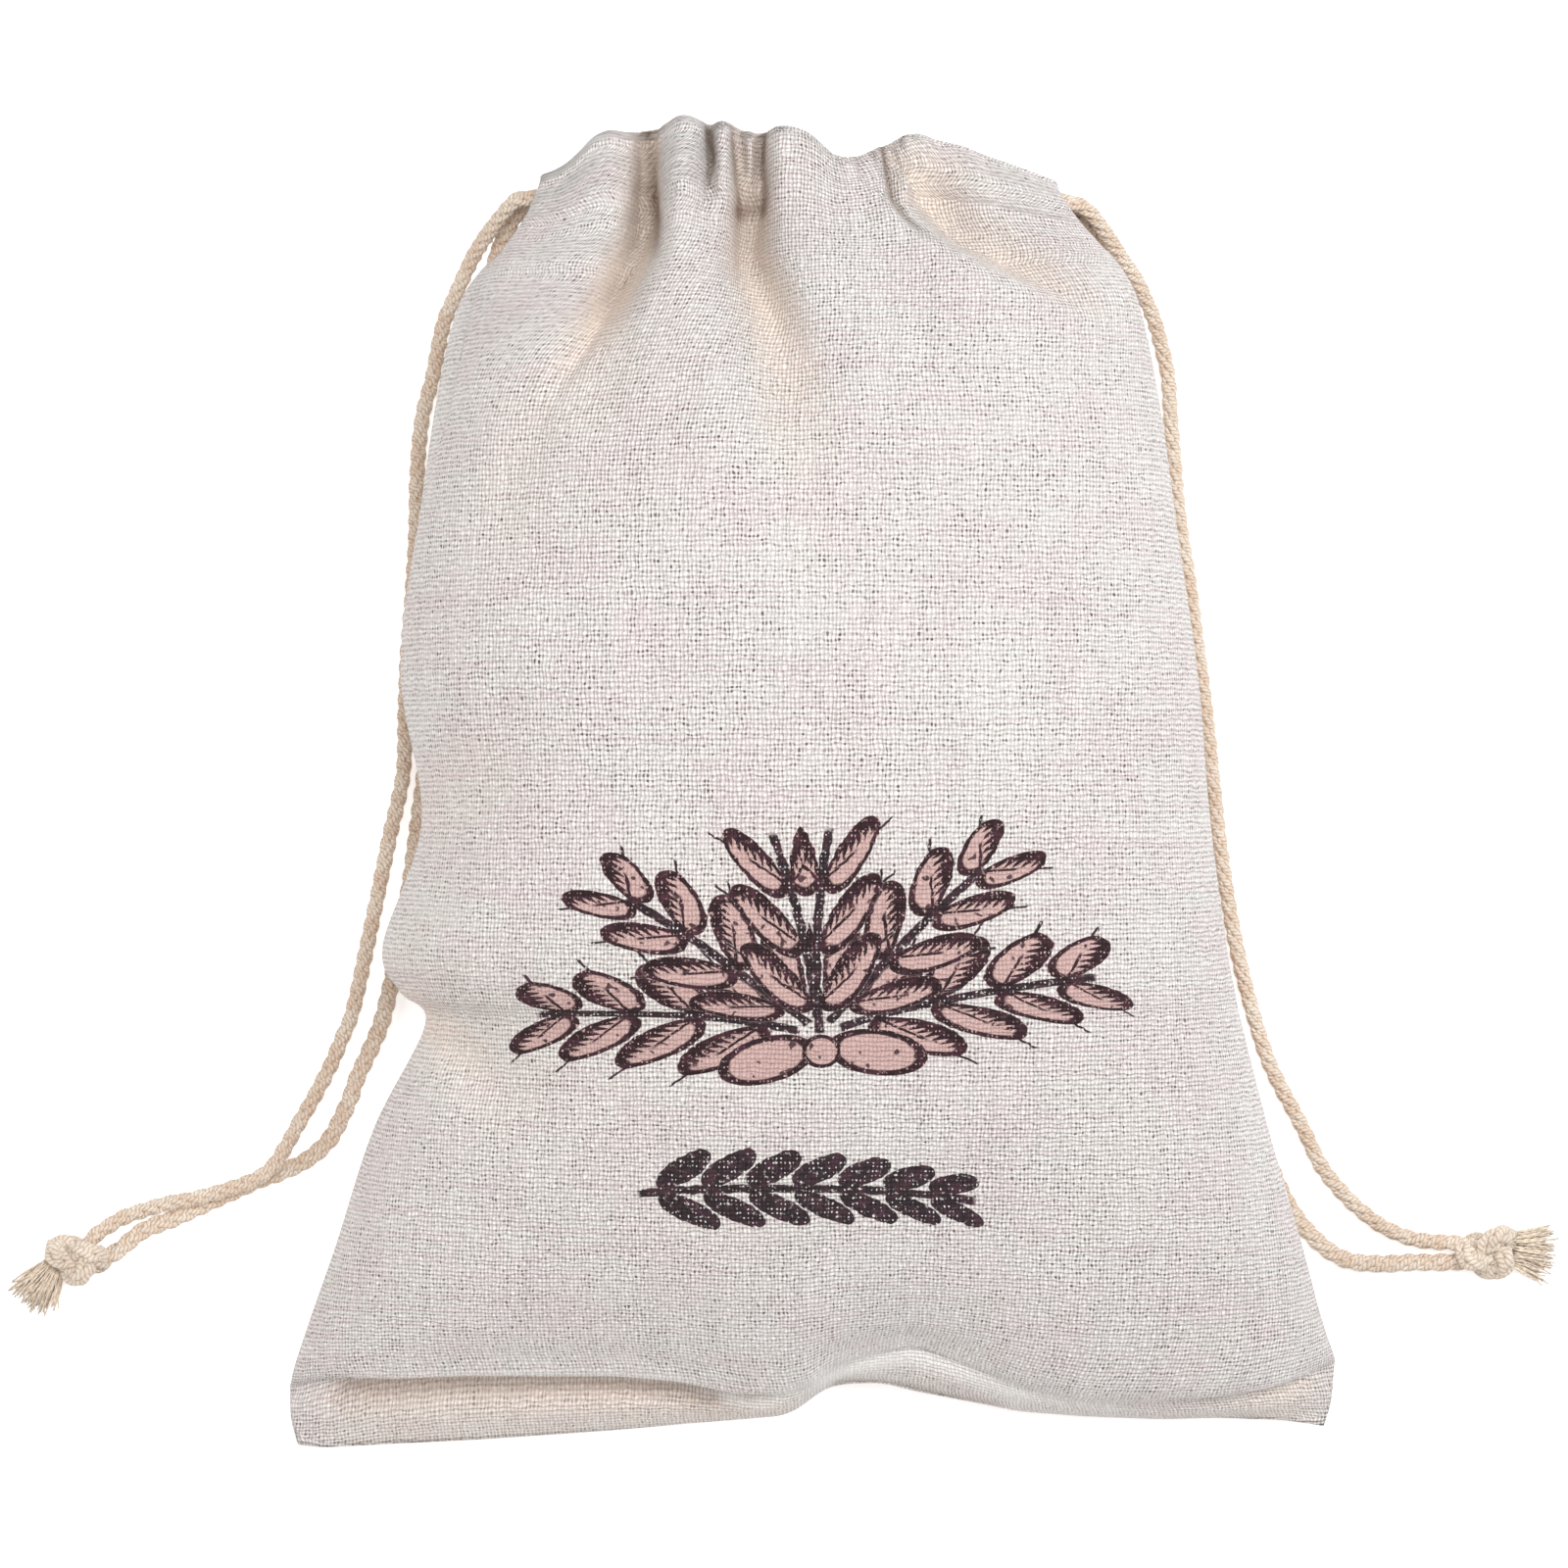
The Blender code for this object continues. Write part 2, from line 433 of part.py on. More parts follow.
def panel_mesh(panel, columns):
    """One cloth panel: its outer face, its inner face, and the cut edges between them."""
    places = grid_places()
    rows = len(places) - 1
    sign = 1.0 if panel == "front" else -1.0
    bm = bmesh.new()
    bmesh.ops.create_grid(bm, x_segments=columns, y_segments=rows, size=0.5)
    outer = sorted(bm.verts, key=lambda v: (round((v.co.y + 0.5) * rows), v.co.x))
    info = []
    for row, place in enumerate(places):
        section, t, dense = outer_section(panel, place)
        points, shares = even_columns(dense, t, columns)
        for column in range(columns + 1):
            outer[row * (columns + 1) + column].co = Vector(points[column])
            info.append((place, section, float(shares[column]), row, column))
    if panel == "back":
        bmesh.ops.reverse_faces(bm, faces=bm.faces[:])
    bm.normal_update()
    normals = [v.normal.copy() for v in outer]

    twin = bmesh.ops.duplicate(bm, geom=bm.verts[:] + bm.edges[:] + bm.faces[:])
    twin_of = twin["vert_map"]
    inner_faces = [item for item in twin["geom"] if isinstance(item, bmesh.types.BMFace)]
    for vert, normal, (place, section, share, row, column) in zip(outer, normals, info):
        inner = twin_of[vert]
        inner.co = vert.co - normal * SHEET
        in_casing = place >= FIRST_CASING_ROW
        if in_casing:
            inner.co.z = section["side"] + sign * casing_floor(section, share)
            if row == rows:
                inner.co.z += sign * RIM_ROUND
        if column in (0, columns) or row == 0:
            slope = min(math.hypot(normal.x, normal.y), 1.0)
            cut = SHEET / max(slope, STEEP)
            if column in (0, columns):
                inward = Vector((1.0 if column == 0 else -1.0, 0.0, 0.0))
            else:
                inward = Vector((0.0, 1.0, 0.0))
            inner.co = vert.co + inward * cut
            vert.co.z += sign * (1.0 - slope) * STEEP * SHEET
    bmesh.ops.reverse_faces(bm, faces=inner_faces)
    open_edges = [edge for edge in bm.edges if edge.is_boundary]
    bmesh.ops.bridge_loops(bm, edges=open_edges)
    bmesh.ops.recalc_face_normals(bm, faces=bm.faces[:])
    if bm.calc_volume(signed=True) < 0.0:
        bmesh.ops.reverse_faces(bm, faces=bm.faces[:])
    mesh = bpy.data.meshes.new(panel + "_panel")
    bm.to_mesh(mesh)
    bm.free()
    mesh.shade_smooth()
    return mesh


def cord_curve(name, route, radius):
    """A tube along a smooth curve through the route's points."""
    fine = np.array([smooth_curve(route, k / 8) for k in range(8 * (len(route) - 1) + 1)])
    fine[:, 2] = np.maximum(fine[:, 2], radius + SEAM_GAP)
    lengths = np.concatenate([[0.0], np.cumsum(np.linalg.norm(np.diff(fine, axis=0), axis=1))])
    count = int(round(lengths[-1] / CORD_STEP)) + 1
    wanted = np.concatenate([[0.0], np.linspace(CORD_LEAD, lengths[-1], count)])
    curve = bpy.data.curves.new(name, "CURVE")
    curve.dimensions = "3D"
    curve.bevel_depth = radius
    curve.bevel_resolution = CORD_SIDES
    curve.use_fill_caps = True
    spline = curve.splines.new("POLY")
    spline.points.add(count)
    for point, at in zip(spline.points, wanted):
        point.co = (*(float(np.interp(at, lengths, fine[:, k])) for k in range(3)), 1.0)
    return curve


def placed(mesh_name, bm, x, y, turned):
    """Turn a shape about Z by some degrees, move it to x, y and make it a mesh."""
    bmesh.ops.rotate(bm, verts=bm.verts[:], matrix=Matrix.Rotation(math.radians(turned), 3, "Z"))
    bmesh.ops.translate(bm, verts=bm.verts[:], vec=(x, y, 0.0))
    mesh = bpy.data.meshes.new(mesh_name)
    bm.to_mesh(mesh)
    bm.free()
    return mesh


def knot_mesh(name, x, y, turned, length, width):
    """A tight knot: an egg of cord whose slanted turns stand out, with a flat underside."""
    bm = bmesh.new()
    around, along = KNOT_SEGMENTS
    bmesh.ops.create_uvsphere(bm, u_segments=around, v_segments=along, radius=1.0)
    for vert in bm.verts:
        angle = math.atan2(vert.co.z, vert.co.y)
        turn = KNOT_PITCH * math.pi * vert.co.x + KNOT_SLANT * angle
        vert.co *= 1.0 + KNOT_RELIEF * math.cos(KNOT_WRAPS * turn)
        vert.co.x *= length / 2
        vert.co.y *= width / 2
        vert.co.z = max((vert.co.z + 1.0) * KNOT_HEIGHT / 2 - KNOT_FLAT, 0.0)
    mesh = placed(name, bm, x, y, turned)
    mesh.shade_smooth()
    return mesh


def tail_mesh(name, x, y, heads, root, fan, stub, locks):
    """The frayed end: a short stub of cord whose end face is drawn out into locks."""
    bm = bmesh.new()
    bmesh.ops.create_cone(bm, cap_ends=True, cap_tris=True, segments=TAIL_SIDES,
                          radius1=TAIL_RADIUS, radius2=TAIL_RADIUS, depth=stub,
                          matrix=Matrix.Rotation(math.pi / 2, 4, "Y"))
    for vert in bm.verts:
        vert.co = (vert.co.x + stub / 2 + SEAM_GAP, vert.co.y * root,
                   (vert.co.z + TAIL_RADIUS) * TAIL_HEIGHT + SEAM_GAP)
    ends = [face for face in bm.faces if face.normal.x > END_FACING]
    drawn = bmesh.ops.extrude_discrete_faces(bm, faces=ends)["faces"]
    for number, face in enumerate(drawn):
        middle = face.calc_center_median()
        turn = number * LOCK_STRIDE % LOCK_TURNS
        shorter = (1.0 - LOCK_SHORTEST) * turn / (LOCK_TURNS - 1)
        spread = middle.y / root * (fan - root) * LOCK_SPLAY
        shift = Vector((locks * (1.0 - shorter), spread, 0.0))
        for vert in face.verts:
            vert.co = middle + (vert.co - middle) * LOCK_TAPER + shift
    return placed(name, bm, x, y, heads)


def main():
    clear_scene()
    group = make_collection("linen_bread_bag")
    linen = make_material("linen")
    cotton = make_material("cotton_cord")
    add_object("front_panel", panel_mesh("front", FRONT_COLUMNS), linen, group)
    add_object("back_panel", panel_mesh("back", BACK_COLUMNS), linen, group)
    for name, route, radius in STRANDS:
        add_object(name, cord_curve(name, route, radius), cotton, group)
    for side, *shape in KNOTS:
        name = "knot_" + side
        add_object(name, knot_mesh(name, *shape), cotton, group)
    for side, *shape in TAILS:
        name = "frayed_end_" + side
        add_object(name, tail_mesh(name, *shape), cotton, group)


main()
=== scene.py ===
"""Looks of the linen bread bag: woven panels with a turned casing, braided drawcords,
their knots and frayed ends. Metres, +Z up, the bag lies on z = 0 with its mouth to +Y."""

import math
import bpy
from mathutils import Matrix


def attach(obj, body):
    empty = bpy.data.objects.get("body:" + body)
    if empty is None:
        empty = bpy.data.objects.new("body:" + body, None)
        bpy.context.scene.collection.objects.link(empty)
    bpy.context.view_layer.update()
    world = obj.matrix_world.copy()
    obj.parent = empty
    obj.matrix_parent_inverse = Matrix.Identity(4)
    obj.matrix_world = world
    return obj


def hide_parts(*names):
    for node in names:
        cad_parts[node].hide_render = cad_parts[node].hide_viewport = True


bl_info = {
    "name": "Linen Bread Bag",
    "version": (1, 0, 0),
    "blender": (4, 5, 0),
    "location": "3D View > Sidebar > Bread Bag",
    "description": "Builds the cloth, cords, knots and finishes of a linen drawstring bag",
    "category": "Object",
}

import bmesh
import bpy
import numpy as np
from mathutils import Vector

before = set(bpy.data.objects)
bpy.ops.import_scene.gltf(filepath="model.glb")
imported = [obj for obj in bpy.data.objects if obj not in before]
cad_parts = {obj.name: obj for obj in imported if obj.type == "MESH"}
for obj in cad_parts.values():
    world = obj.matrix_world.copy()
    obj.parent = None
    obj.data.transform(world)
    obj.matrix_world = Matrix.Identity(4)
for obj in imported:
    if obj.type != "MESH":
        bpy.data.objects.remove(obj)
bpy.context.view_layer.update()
BODY = "root"

# ---- set dimensions shared with the part's source (m) ----
SEAM_GAP = 0.0003        # clearance between the panels along their seams
FRONT_CORD = 0.0024      # radius of the cord of the front casing
BACK_CORD = 0.0027       # radius of the cord of the back casing
CASING_COVER = 0.0030    # least depth of a casing: its layers with a cord inside
MOUTH_RISE = 0.0060      # half of the slit left open in the middle of the mouth
SECTION_SAMPLES = 900    # points across a section before even columns are picked
FRONT_SHAPE = (0.4, 0.55)    # fullness and steepness of the front's cross-section
BACK_SHAPE = (1.2, 0.69)     # the same for the back, which lies flat on the ground
SEAM_GUARD = 8           # power with which the folds die out towards the side seams
FOLD_FADE = 1.5          # power with which a fold changes along its line
ROW_READINGS = 16        # readings of the cloth's length for each row of the sections
CURVE_READINGS = 12      # readings of a cord's route for each of its points

# ---- cross-sections of the bag, from the bottom seam up to the mouth ----
# y: place along the bag. left, right: the side seams. side: height of the side seams.
# front, back: heights of the two panels at their middle. round: 0 for a flat arc,
# 1 for a full side wall. seam, tuck, top: how far the row follows those wavy edges.
# bulge: how far the back panel swells past the left seam. rows: grid rows to the next.
SECTIONS = (
    # name     y       left    right   side   front   back   round seam  tuck  top bulge rows
    ("seam", -0.1800, -0.1490, 0.1478, 0.0080, 0.0200, 0.0200, 0.00, 1.0, 0.00, 0.0, 0.0, 1),
    ("strip", -0.1740, -0.1510, 0.1500, 0.0085, 0.0290, 0.0105, 0.70, 0.5, 0.50, 0.0, 0.0, 1),
    ("tuck", -0.1668, -0.1513, 0.1508, 0.0098, 0.0350, 0.0075, 0.80, 0.0, 1.00, 0.0, 0.0, 1),
    ("lip", -0.1645, -0.1508, 0.1508, 0.0110, 0.0400, 0.0065, 0.90, 0.0, 1.00, 0.0, 0.0, 1),
    ("brow", -0.1605, -0.1496, 0.1494, 0.0130, 0.0465, 0.0045, 1.00, 0.0, 0.90, 0.0, 0.0, 1),
    ("foot", -0.1500, -0.1450, 0.1460, 0.0170, 0.0570, 0.0000, 1.00, 0.0, 0.45, 0.0, 0.0, 1),
    ("belly", -0.1290, -0.1367, 0.1398, 0.0245, 0.0720, -0.0040, 1.00, 0.0, 0.12, 0.0, 0.0, 2),
    ("print", -0.0940, -0.1246, 0.1288, 0.0340, 0.0890, -0.0060, 1.00, 0.0, 0.00, 0.0, 0.0, 2),
    ("dent", -0.0640, -0.1095, 0.1206, 0.0400, 0.0990, -0.0060, 1.00, 0.0, 0.00, 0.0, 0.0, 1),
    ("fold", -0.0550, -0.1165, 0.1185, 0.0425, 0.1020, -0.0060, 1.00, 0.0, 0.00, 0.0, 0.0, 1),
    ("hip", -0.0420, -0.1210, 0.1158, 0.0460, 0.1055, -0.0060, 1.00, 0.0, 0.00, 0.0, 0.0, 2),
    ("waist", -0.0070, -0.1096, 0.1106, 0.0520, 0.1130, -0.0060, 1.00, 0.0, 0.00, 0.0, 0.0, 2),
    ("crown", 0.0330, -0.1150, 0.1068, 0.0560, 0.1170, -0.0060, 1.00, 0.0, 0.00, 0.0, 0.0, 2),
    ("chest", 0.0715, -0.1106, 0.1010, 0.0600, 0.1150, -0.0060, 1.00, 0.0, 0.00, 0.0, 0.002, 2),
    ("yoke", 0.1060, -0.1012, 0.0961, 0.0630, 0.1060, -0.0030, 1.00, 0.0, 0.00, 0.0, 0.008, 2),
    ("neck", 0.1350, -0.0950, 0.0907, 0.0600, 0.0930, 0.0080, 1.00, 0.0, 0.00, 0.0, 0.008, 1),
    ("throat", 0.1470, -0.0900, 0.0855, 0.0570, 0.0850, 0.0150, 1.00, 0.0, 0.00, 0.0, 0.006, 1),
    ("sewn", 0.1580, -0.0848, 0.0794, 0.0520, 0.0765, 0.0250, 1.15, 0.0, 0.00, 0.3, 0.001, 1),
    ("casing", 0.1700, -0.0798, 0.0735, 0.0480, 0.0705, 0.0300, 1.30, 0.0, 0.00, 0.7, 0.0, 1),
    ("rim", 0.1800, -0.0770, 0.0690, 0.0480, 0.0680, 0.0320, 1.30, 0.0, 0.00, 1.0, 0.0, 1),
    ("top", 0.1830, -0.0762, 0.0678, 0.0480, 0.0640, 0.0360, 1.30, 0.0, 0.00, 1.0, 0.0, 0),
)
SECTION_NAMES = [row[0] for row in SECTIONS]
FIELDS = ("y", "left", "right", "side", "front", "back", "round", "seam", "tuck", "top",
          "bulge")
FIRST_CASING_ROW = SECTION_NAMES.index("sewn")

# ---- wavy edges: the sewn bottom with the crease above it, and the gathered mouth ----
BOTTOM_EDGE = (
    # x      seam y   crease y  crease  shelf
    (-0.150, -0.1878, -0.1730, 0.0, 0.0),
    (-0.142, -0.1886, -0.1702, 0.3, 0.0),
    (-0.128, -0.1876, -0.1680, 1.0, 0.0),
    (-0.098, -0.1857, -0.1659, 1.0, 0.0),
    (-0.055, -0.1822, -0.1656, 1.0, 0.0),
    (-0.037, -0.1804, -0.1673, 0.9, 0.0),
    (-0.021, -0.1791, -0.1712, 0.7, 0.0),
    (-0.008, -0.1780, -0.1715, 0.4, 0.0),
    (-0.002, -0.1745, -0.1690, 0.3, 0.0),
    (0.003, -0.1701, -0.1650, 0.2, 0.1),
    (0.009, -0.1688, -0.1618, 0.2, 0.3),
    (0.020, -0.1686, -0.1592, 0.2, 0.8),
    (0.028, -0.1708, -0.1576, 0.2, 1.0),
    (0.039, -0.1729, -0.1614, 0.2, 1.0),
    (0.059, -0.1770, -0.1695, 0.1, 0.4),
    (0.077, -0.1786, -0.1742, 0.1, 0.0),
    (0.100, -0.1798, -0.1745, 0.1, 0.0),
    (0.119, -0.1796, -0.1735, 0.4, 0.0),
    (0.137, -0.1805, -0.1700, 0.8, 0.0),
    (0.150, -0.1830, -0.1660, 0.0, 0.0),
)
SEAM_Y, CREASE_Y, CREASE_SHARE, SHELF_SHARE = range(1, 5)    # the columns after x
# how the crease moves each row near it: forward (y) and up (z), and up on the shelf
CREASE_MOVES = (
    # section   y        z       shelf z
    ("strip",  0.0000, 0.0000, 0.0050),
    ("tuck",   0.0028, -0.0045, 0.0030),
    ("lip",   -0.0024, 0.0000, 0.0000),
)
MOUTH_EDGE = (
    # x      y
    (-0.0780, 0.1712),
    (-0.0720, 0.1720),
    (-0.0667, 0.1757),
    (-0.0602, 0.1828),
    (-0.0569, 0.1840),
    (-0.0530, 0.1824),
    (-0.0465, 0.1841),
    (-0.0430, 0.1838),
    (-0.0370, 0.1870),
    (-0.0275, 0.1847),
    (-0.0242, 0.1860),
    (-0.0177, 0.1822),
    (-0.0079, 0.1841),
    (-0.0013, 0.1820),
    (0.0052, 0.1749),
    (0.0118, 0.1750),
    (0.0183, 0.1786),
    (0.0281, 0.1830),
    (0.0347, 0.1799),
    (0.0400, 0.1795),
    (0.0477, 0.1763),
    (0.0641, 0.1705),
    (0.0720, 0.1683),
)
MOUTH_Y = 1              # the column after x
SEAM_LEVEL = -0.1800     # mean y of the sewn bottom
TUCK_LEVEL = -0.1680     # mean y of the crease above it
MOUTH_LEVEL = 0.1815     # mean y of the mouth's edge
EDGE_SOFTNESS = 0.003    # length over which a wavy edge turns
EDGE_READINGS = 5        # readings that are averaged over it

# ---- folds: name, points of the line it follows (x, y), then its height (below zero for
# a trough) and its half-width on the left and the right of the line at each end ----
FRONT_FOLDS = (
    ("left valley", ((-0.0455, 0.188), (-0.0460, 0.166), (-0.0475, 0.154), (-0.0535, 0.138),
                     (-0.0605, 0.119), (-0.0720, 0.100)), -0.0175, 0.000, 0.0042, 0.0026, 0.013),
    ("left ridge", ((-0.0365, 0.190), (-0.0365, 0.165), (-0.034, 0.138), (-0.027, 0.111),
                    (-0.019, 0.074)), 0.0075, 0.0000, 0.0048, 0.0048, 0.015),
    ("slit", ((-0.0290, 0.190), (-0.0290, 0.172), (-0.0285, 0.160)),
     -0.0080, -0.0010, 0.0016, 0.0016, 0.003),
    ("thin ridge", ((-0.0250, 0.190), (-0.0248, 0.168), (-0.0245, 0.140)),
     0.0045, 0.0000, 0.0026, 0.0024, 0.006),
    ("pocket", ((-0.0175, 0.188), (-0.0175, 0.160), (-0.0180, 0.148), (-0.0125, 0.134),
                (-0.0075, 0.115), (-0.0085, 0.080)), -0.0170, 0.0000, 0.0044, 0.0040, 0.015),
    ("broad ridge", ((0.002, 0.188), (0.008, 0.138), (0.020, 0.104)),
     0.0060, 0.0000, 0.0100, 0.0130, 0.022),
    ("first pleat", ((0.0125, 0.186), (0.0135, 0.168), (0.017, 0.157)),
     -0.0045, 0.0000, 0.0020, 0.0020, 0.004),
    ("second pleat", ((0.0200, 0.188), (0.0225, 0.168), (0.0265, 0.158)),
     -0.0060, -0.0040, 0.0018, 0.0020, 0.004),
    ("shoulder hollow", ((0.029, 0.166), (0.038, 0.1540), (0.050, 0.1460), (0.064, 0.1385),
                         (0.080, 0.1310)), -0.0105, 0.0000, 0.0030, 0.0110, 0.009),
    ("shoulder edge", ((0.024, 0.160), (0.040, 0.1455), (0.056, 0.1365), (0.072, 0.1290)),
     0.0040, 0.0000, 0.0090, 0.0030, 0.008),
    ("hip pucker", ((-0.112, -0.059), (-0.0935, -0.0735), (-0.0740, -0.0920)),
     -0.0060, 0.0000, 0.0070, 0.0070, 0.014),
    ("waist pucker", ((-0.112, -0.004), (-0.090, 0.004), (-0.070, 0.018)),
     -0.0030, 0.0000, 0.0080, 0.0080, 0.012),
)
BACK_FOLDS = (
    ("back pleat 1", ((-0.052, 0.188), (-0.052, 0.158), (-0.064, 0.120)),
     -0.0060, 0.0000, 0.0040, 0.0040, 0.014),
    ("back pleat 2", ((-0.034, 0.188), (-0.034, 0.158), (-0.040, 0.124)),
     0.0045, 0.0000, 0.0045, 0.0045, 0.012),
    ("back pleat 3", ((-0.018, 0.188), (-0.018, 0.158), (-0.018, 0.112)),
     -0.0080, 0.0000, 0.0042, 0.0042, 0.014),
    ("back pleat 4", ((0.000, 0.188), (0.001, 0.158), (0.004, 0.124)),
     0.0050, 0.0000, 0.0050, 0.0050, 0.012),
    ("back pleat 5", ((0.017, 0.188), (0.018, 0.158), (0.026, 0.114)),
     -0.0070, 0.0000, 0.0042, 0.0042, 0.013),
    ("back pleat 6", ((0.034, 0.188), (0.037, 0.158), (0.050, 0.124)),
     0.0040, 0.0000, 0.0048, 0.0048, 0.013),
    ("back pleat 7", ((0.048, 0.188), (0.053, 0.158), (0.068, 0.124)),
     -0.0050, 0.0000, 0.0040, 0.0040, 0.012),
)

# ---- routes of the four visible cord strands, from the casing to the knot. A point without
# a height has the strand on the table ----
TABLE_GAP = 0.0003       # clearance between a strand and the table
LEFT_FRONT_ROUTE = (
    (-0.0797, 0.1672, 0.0520), (-0.0836, 0.1666, 0.0508), (-0.0893, 0.1616, 0.0430),
    (-0.0936, 0.1574, 0.0352), (-0.0981, 0.1520, 0.0260), (-0.1036, 0.1424, 0.0165),
    (-0.1070, 0.1355, 0.0105), (-0.1104, 0.1218, 0.0045), (-0.1138, 0.1088), (-0.1152, 0.0917),
    (-0.1156, 0.0746), (-0.1166, 0.0575), (-0.1180, 0.0404), (-0.1186, 0.0233), (-0.1192, 0.0062),
    (-0.1229, -0.0110), (-0.1264, -0.0281), (-0.1300, -0.0452), (-0.1337, -0.0623),
    (-0.1370, -0.0708), (-0.1407, -0.0794), (-0.1452, -0.0879), (-0.1501, -0.0965, 0.0036),
    (-0.1529, -0.1018, 0.0056), (-0.1566, -0.1076, 0.0079), (-0.1618, -0.1113, 0.0087),
    (-0.1686, -0.1138, 0.0084), (-0.1749, -0.1157, 0.0081), (-0.1797, -0.1170, 0.0078),
    (-0.1846, -0.1178, 0.0067), (-0.1908, -0.1194, 0.0052), (-0.1994, -0.1222, 0.0045),
    (-0.2045, -0.1250, 0.0048), (-0.2082, -0.1276, 0.0052),
)
LEFT_BACK_ROUTE = (
    (-0.0820, 0.1656, 0.0415), (-0.0856, 0.1624, 0.0375), (-0.0900, 0.1545, 0.0265),
    (-0.0938, 0.1440, 0.0165), (-0.0980, 0.1325, 0.0085), (-0.1030, 0.1145, 0.0040),
    (-0.1062, 0.0945), (-0.1080, 0.0717), (-0.1088, 0.0461), (-0.1100, 0.0254), (-0.1126, 0.0080),
    (-0.1147, -0.0081), (-0.1170, -0.0246), (-0.1197, -0.0400), (-0.1229, -0.0560),
    (-0.1261, -0.0680), (-0.1323, -0.0816), (-0.1352, -0.0896), (-0.1407, -0.1002),
    (-0.1475, -0.1062), (-0.1546, -0.1096), (-0.1609, -0.1118), (-0.1695, -0.1157),
    (-0.1780, -0.1195), (-0.1866, -0.1234), (-0.1951, -0.1268), (-0.2026, -0.1328, 0.0044),
)
RIGHT_FRONT_ROUTE = (
    (0.0730, 0.1656, 0.0522), (0.0766, 0.1640, 0.0502), (0.0800, 0.1608, 0.0456),
    (0.0840, 0.1569, 0.0380), (0.0880, 0.1525, 0.0302), (0.0922, 0.1480, 0.0230),
    (0.0958, 0.1423, 0.0160), (0.0987, 0.1370, 0.0105), (0.1012, 0.1300, 0.0055),
    (0.1032, 0.1220, 0.0035), (0.1041, 0.1100), (0.1051, 0.0965), (0.1065, 0.0811),
    (0.1096, 0.0603), (0.1126, 0.0375), (0.1145, 0.0224), (0.1165, 0.0033), (0.1187, -0.0167),
    (0.1229, -0.0423), (0.1280, -0.0632), (0.1335, -0.0794), (0.1424, -0.0965), (0.1480, -0.1079),
    (0.1555, -0.1170), (0.1641, -0.1243), (0.1726, -0.1284, 0.0032), (0.1800, -0.1296, 0.0046),
    (0.1858, -0.1298, 0.0053),
)
RIGHT_BACK_ROUTE = (
    (0.0752, 0.1632, 0.0415), (0.0790, 0.1602, 0.0360), (0.0828, 0.1525, 0.0240),
    (0.0866, 0.1425, 0.0140), (0.0902, 0.1305, 0.0070), (0.0930, 0.1165, 0.0042), (0.0958, 0.0945),
    (0.0990, 0.0717), (0.1036, 0.0375), (0.1078, 0.0090), (0.1122, -0.0195), (0.1178, -0.0480),
    (0.1240, -0.0765), (0.1287, -0.0965), (0.1345, -0.1112), (0.1393, -0.1207), (0.1464, -0.1293),
    (0.1544, -0.1348), (0.1640, -0.1362), (0.1750, -0.1358), (0.1854, -0.1356, 0.0042),
)
STRANDS = (
    # name, route, radius, last point inside the casing and inside the knot, pieces at its end
    ("cord_left_front", LEFT_FRONT_ROUTE, FRONT_CORD, (-0.0750, 0.1676, 0.0528),
     (-0.2112, -0.1314, 0.0060), ("tied_knot_left", "loose_frayed_end_left")),
    ("cord_left_back", LEFT_BACK_ROUTE, BACK_CORD, (-0.0770, 0.1672, 0.0412),
     (-0.2080, -0.1342, 0.0058), ()),
    ("cord_right_front", RIGHT_FRONT_ROUTE, FRONT_CORD, (0.0685, 0.1664, 0.0530),
     (0.1905, -0.1308, 0.0060), ("tied_knot_right", "loose_frayed_end_right")),
    ("cord_right_back", RIGHT_BACK_ROUTE, BACK_CORD, (0.0705, 0.1650, 0.0413),
     (0.1908, -0.1346, 0.0058), ()),
)

# ---- knots and frayed ends; heads and turned are in degrees from +X ----
KNOT_HEIGHT = 0.0125
KNOT_POINTS = 240        # points along the line of a knot
KNOTS = (
    # name         x        y       turned  length  width   tube    wind
    ("knot_left", -0.2135, -0.1346, -14.0, 0.0212, 0.0158, 0.0033, 0.5),
    ("knot_right", 0.1962, -0.1326, 22.0, 0.0212, 0.0170, 0.0034, 2.6),
)
FRAYS = (
    # name              x        y       heads  root    fan     long    lift   seed
    ("frayed_end_left", -0.2205, -0.1365, 234.0, 0.0060, 0.0150, 0.0150, 0.0060, 3),
    ("frayed_end_right", 0.2035, -0.1315, -9.0, 0.0100, 0.0172, 0.0125, 0.0070, 5),
)

# ---- the braid; its ring, size and wave are shares of the cord's radius ----
YARNS = 8
YARN_RING = 0.55         # radius of the ring that the yarns wind round, and of the core
YARN_SIZE = 0.37         # radius of a yarn
YARN_WAVE = 0.06         # how far a yarn moves out and in where it crosses others
YARN_SIDES, KNOT_YARN_SIDES, CORE_SIDES = 6, 7, 8
YARN_START = 0.37        # how far each yarn's finish is shifted from the last one's (m)
CORD_LIFT = 0.0002       # least clearance between a cord and the table
WELD = 1e-6              # points of a tube that are this close are one

# ---- a lock of fibre in a frayed end ----
LOCK_POINTS = 9
LOCK_SIDES = 4
LOCK_REACH = (0.72, 1.08)            # its length, as a share of the end's
LOCK_SHORTER = 0.12                  # how much of that is lost at the sides of the fan
LOCK_BOW, LOCK_CURL = 0.0006, 0.0009    # how far it bows, and curls at its tip (m)
LOCK_SWAY = 0.0003                   # how far it bends up and down (m)
LOCK_SPREAD = 1.2                    # power with which the fan opens
LOCK_LEVEL = 0.15                    # height of the lowest one, as a share of the highest
LOCK_DROP, LOCK_DROP_POWER = 0.75, 1.6    # how much lower its tip is, and with what power
LOCK_LIFT, LOCK_CLEARANCE = 0.0003, 0.0001    # how far it stands off the table (m)
LOCK_RADIUS = (0.00022, 0.00038)
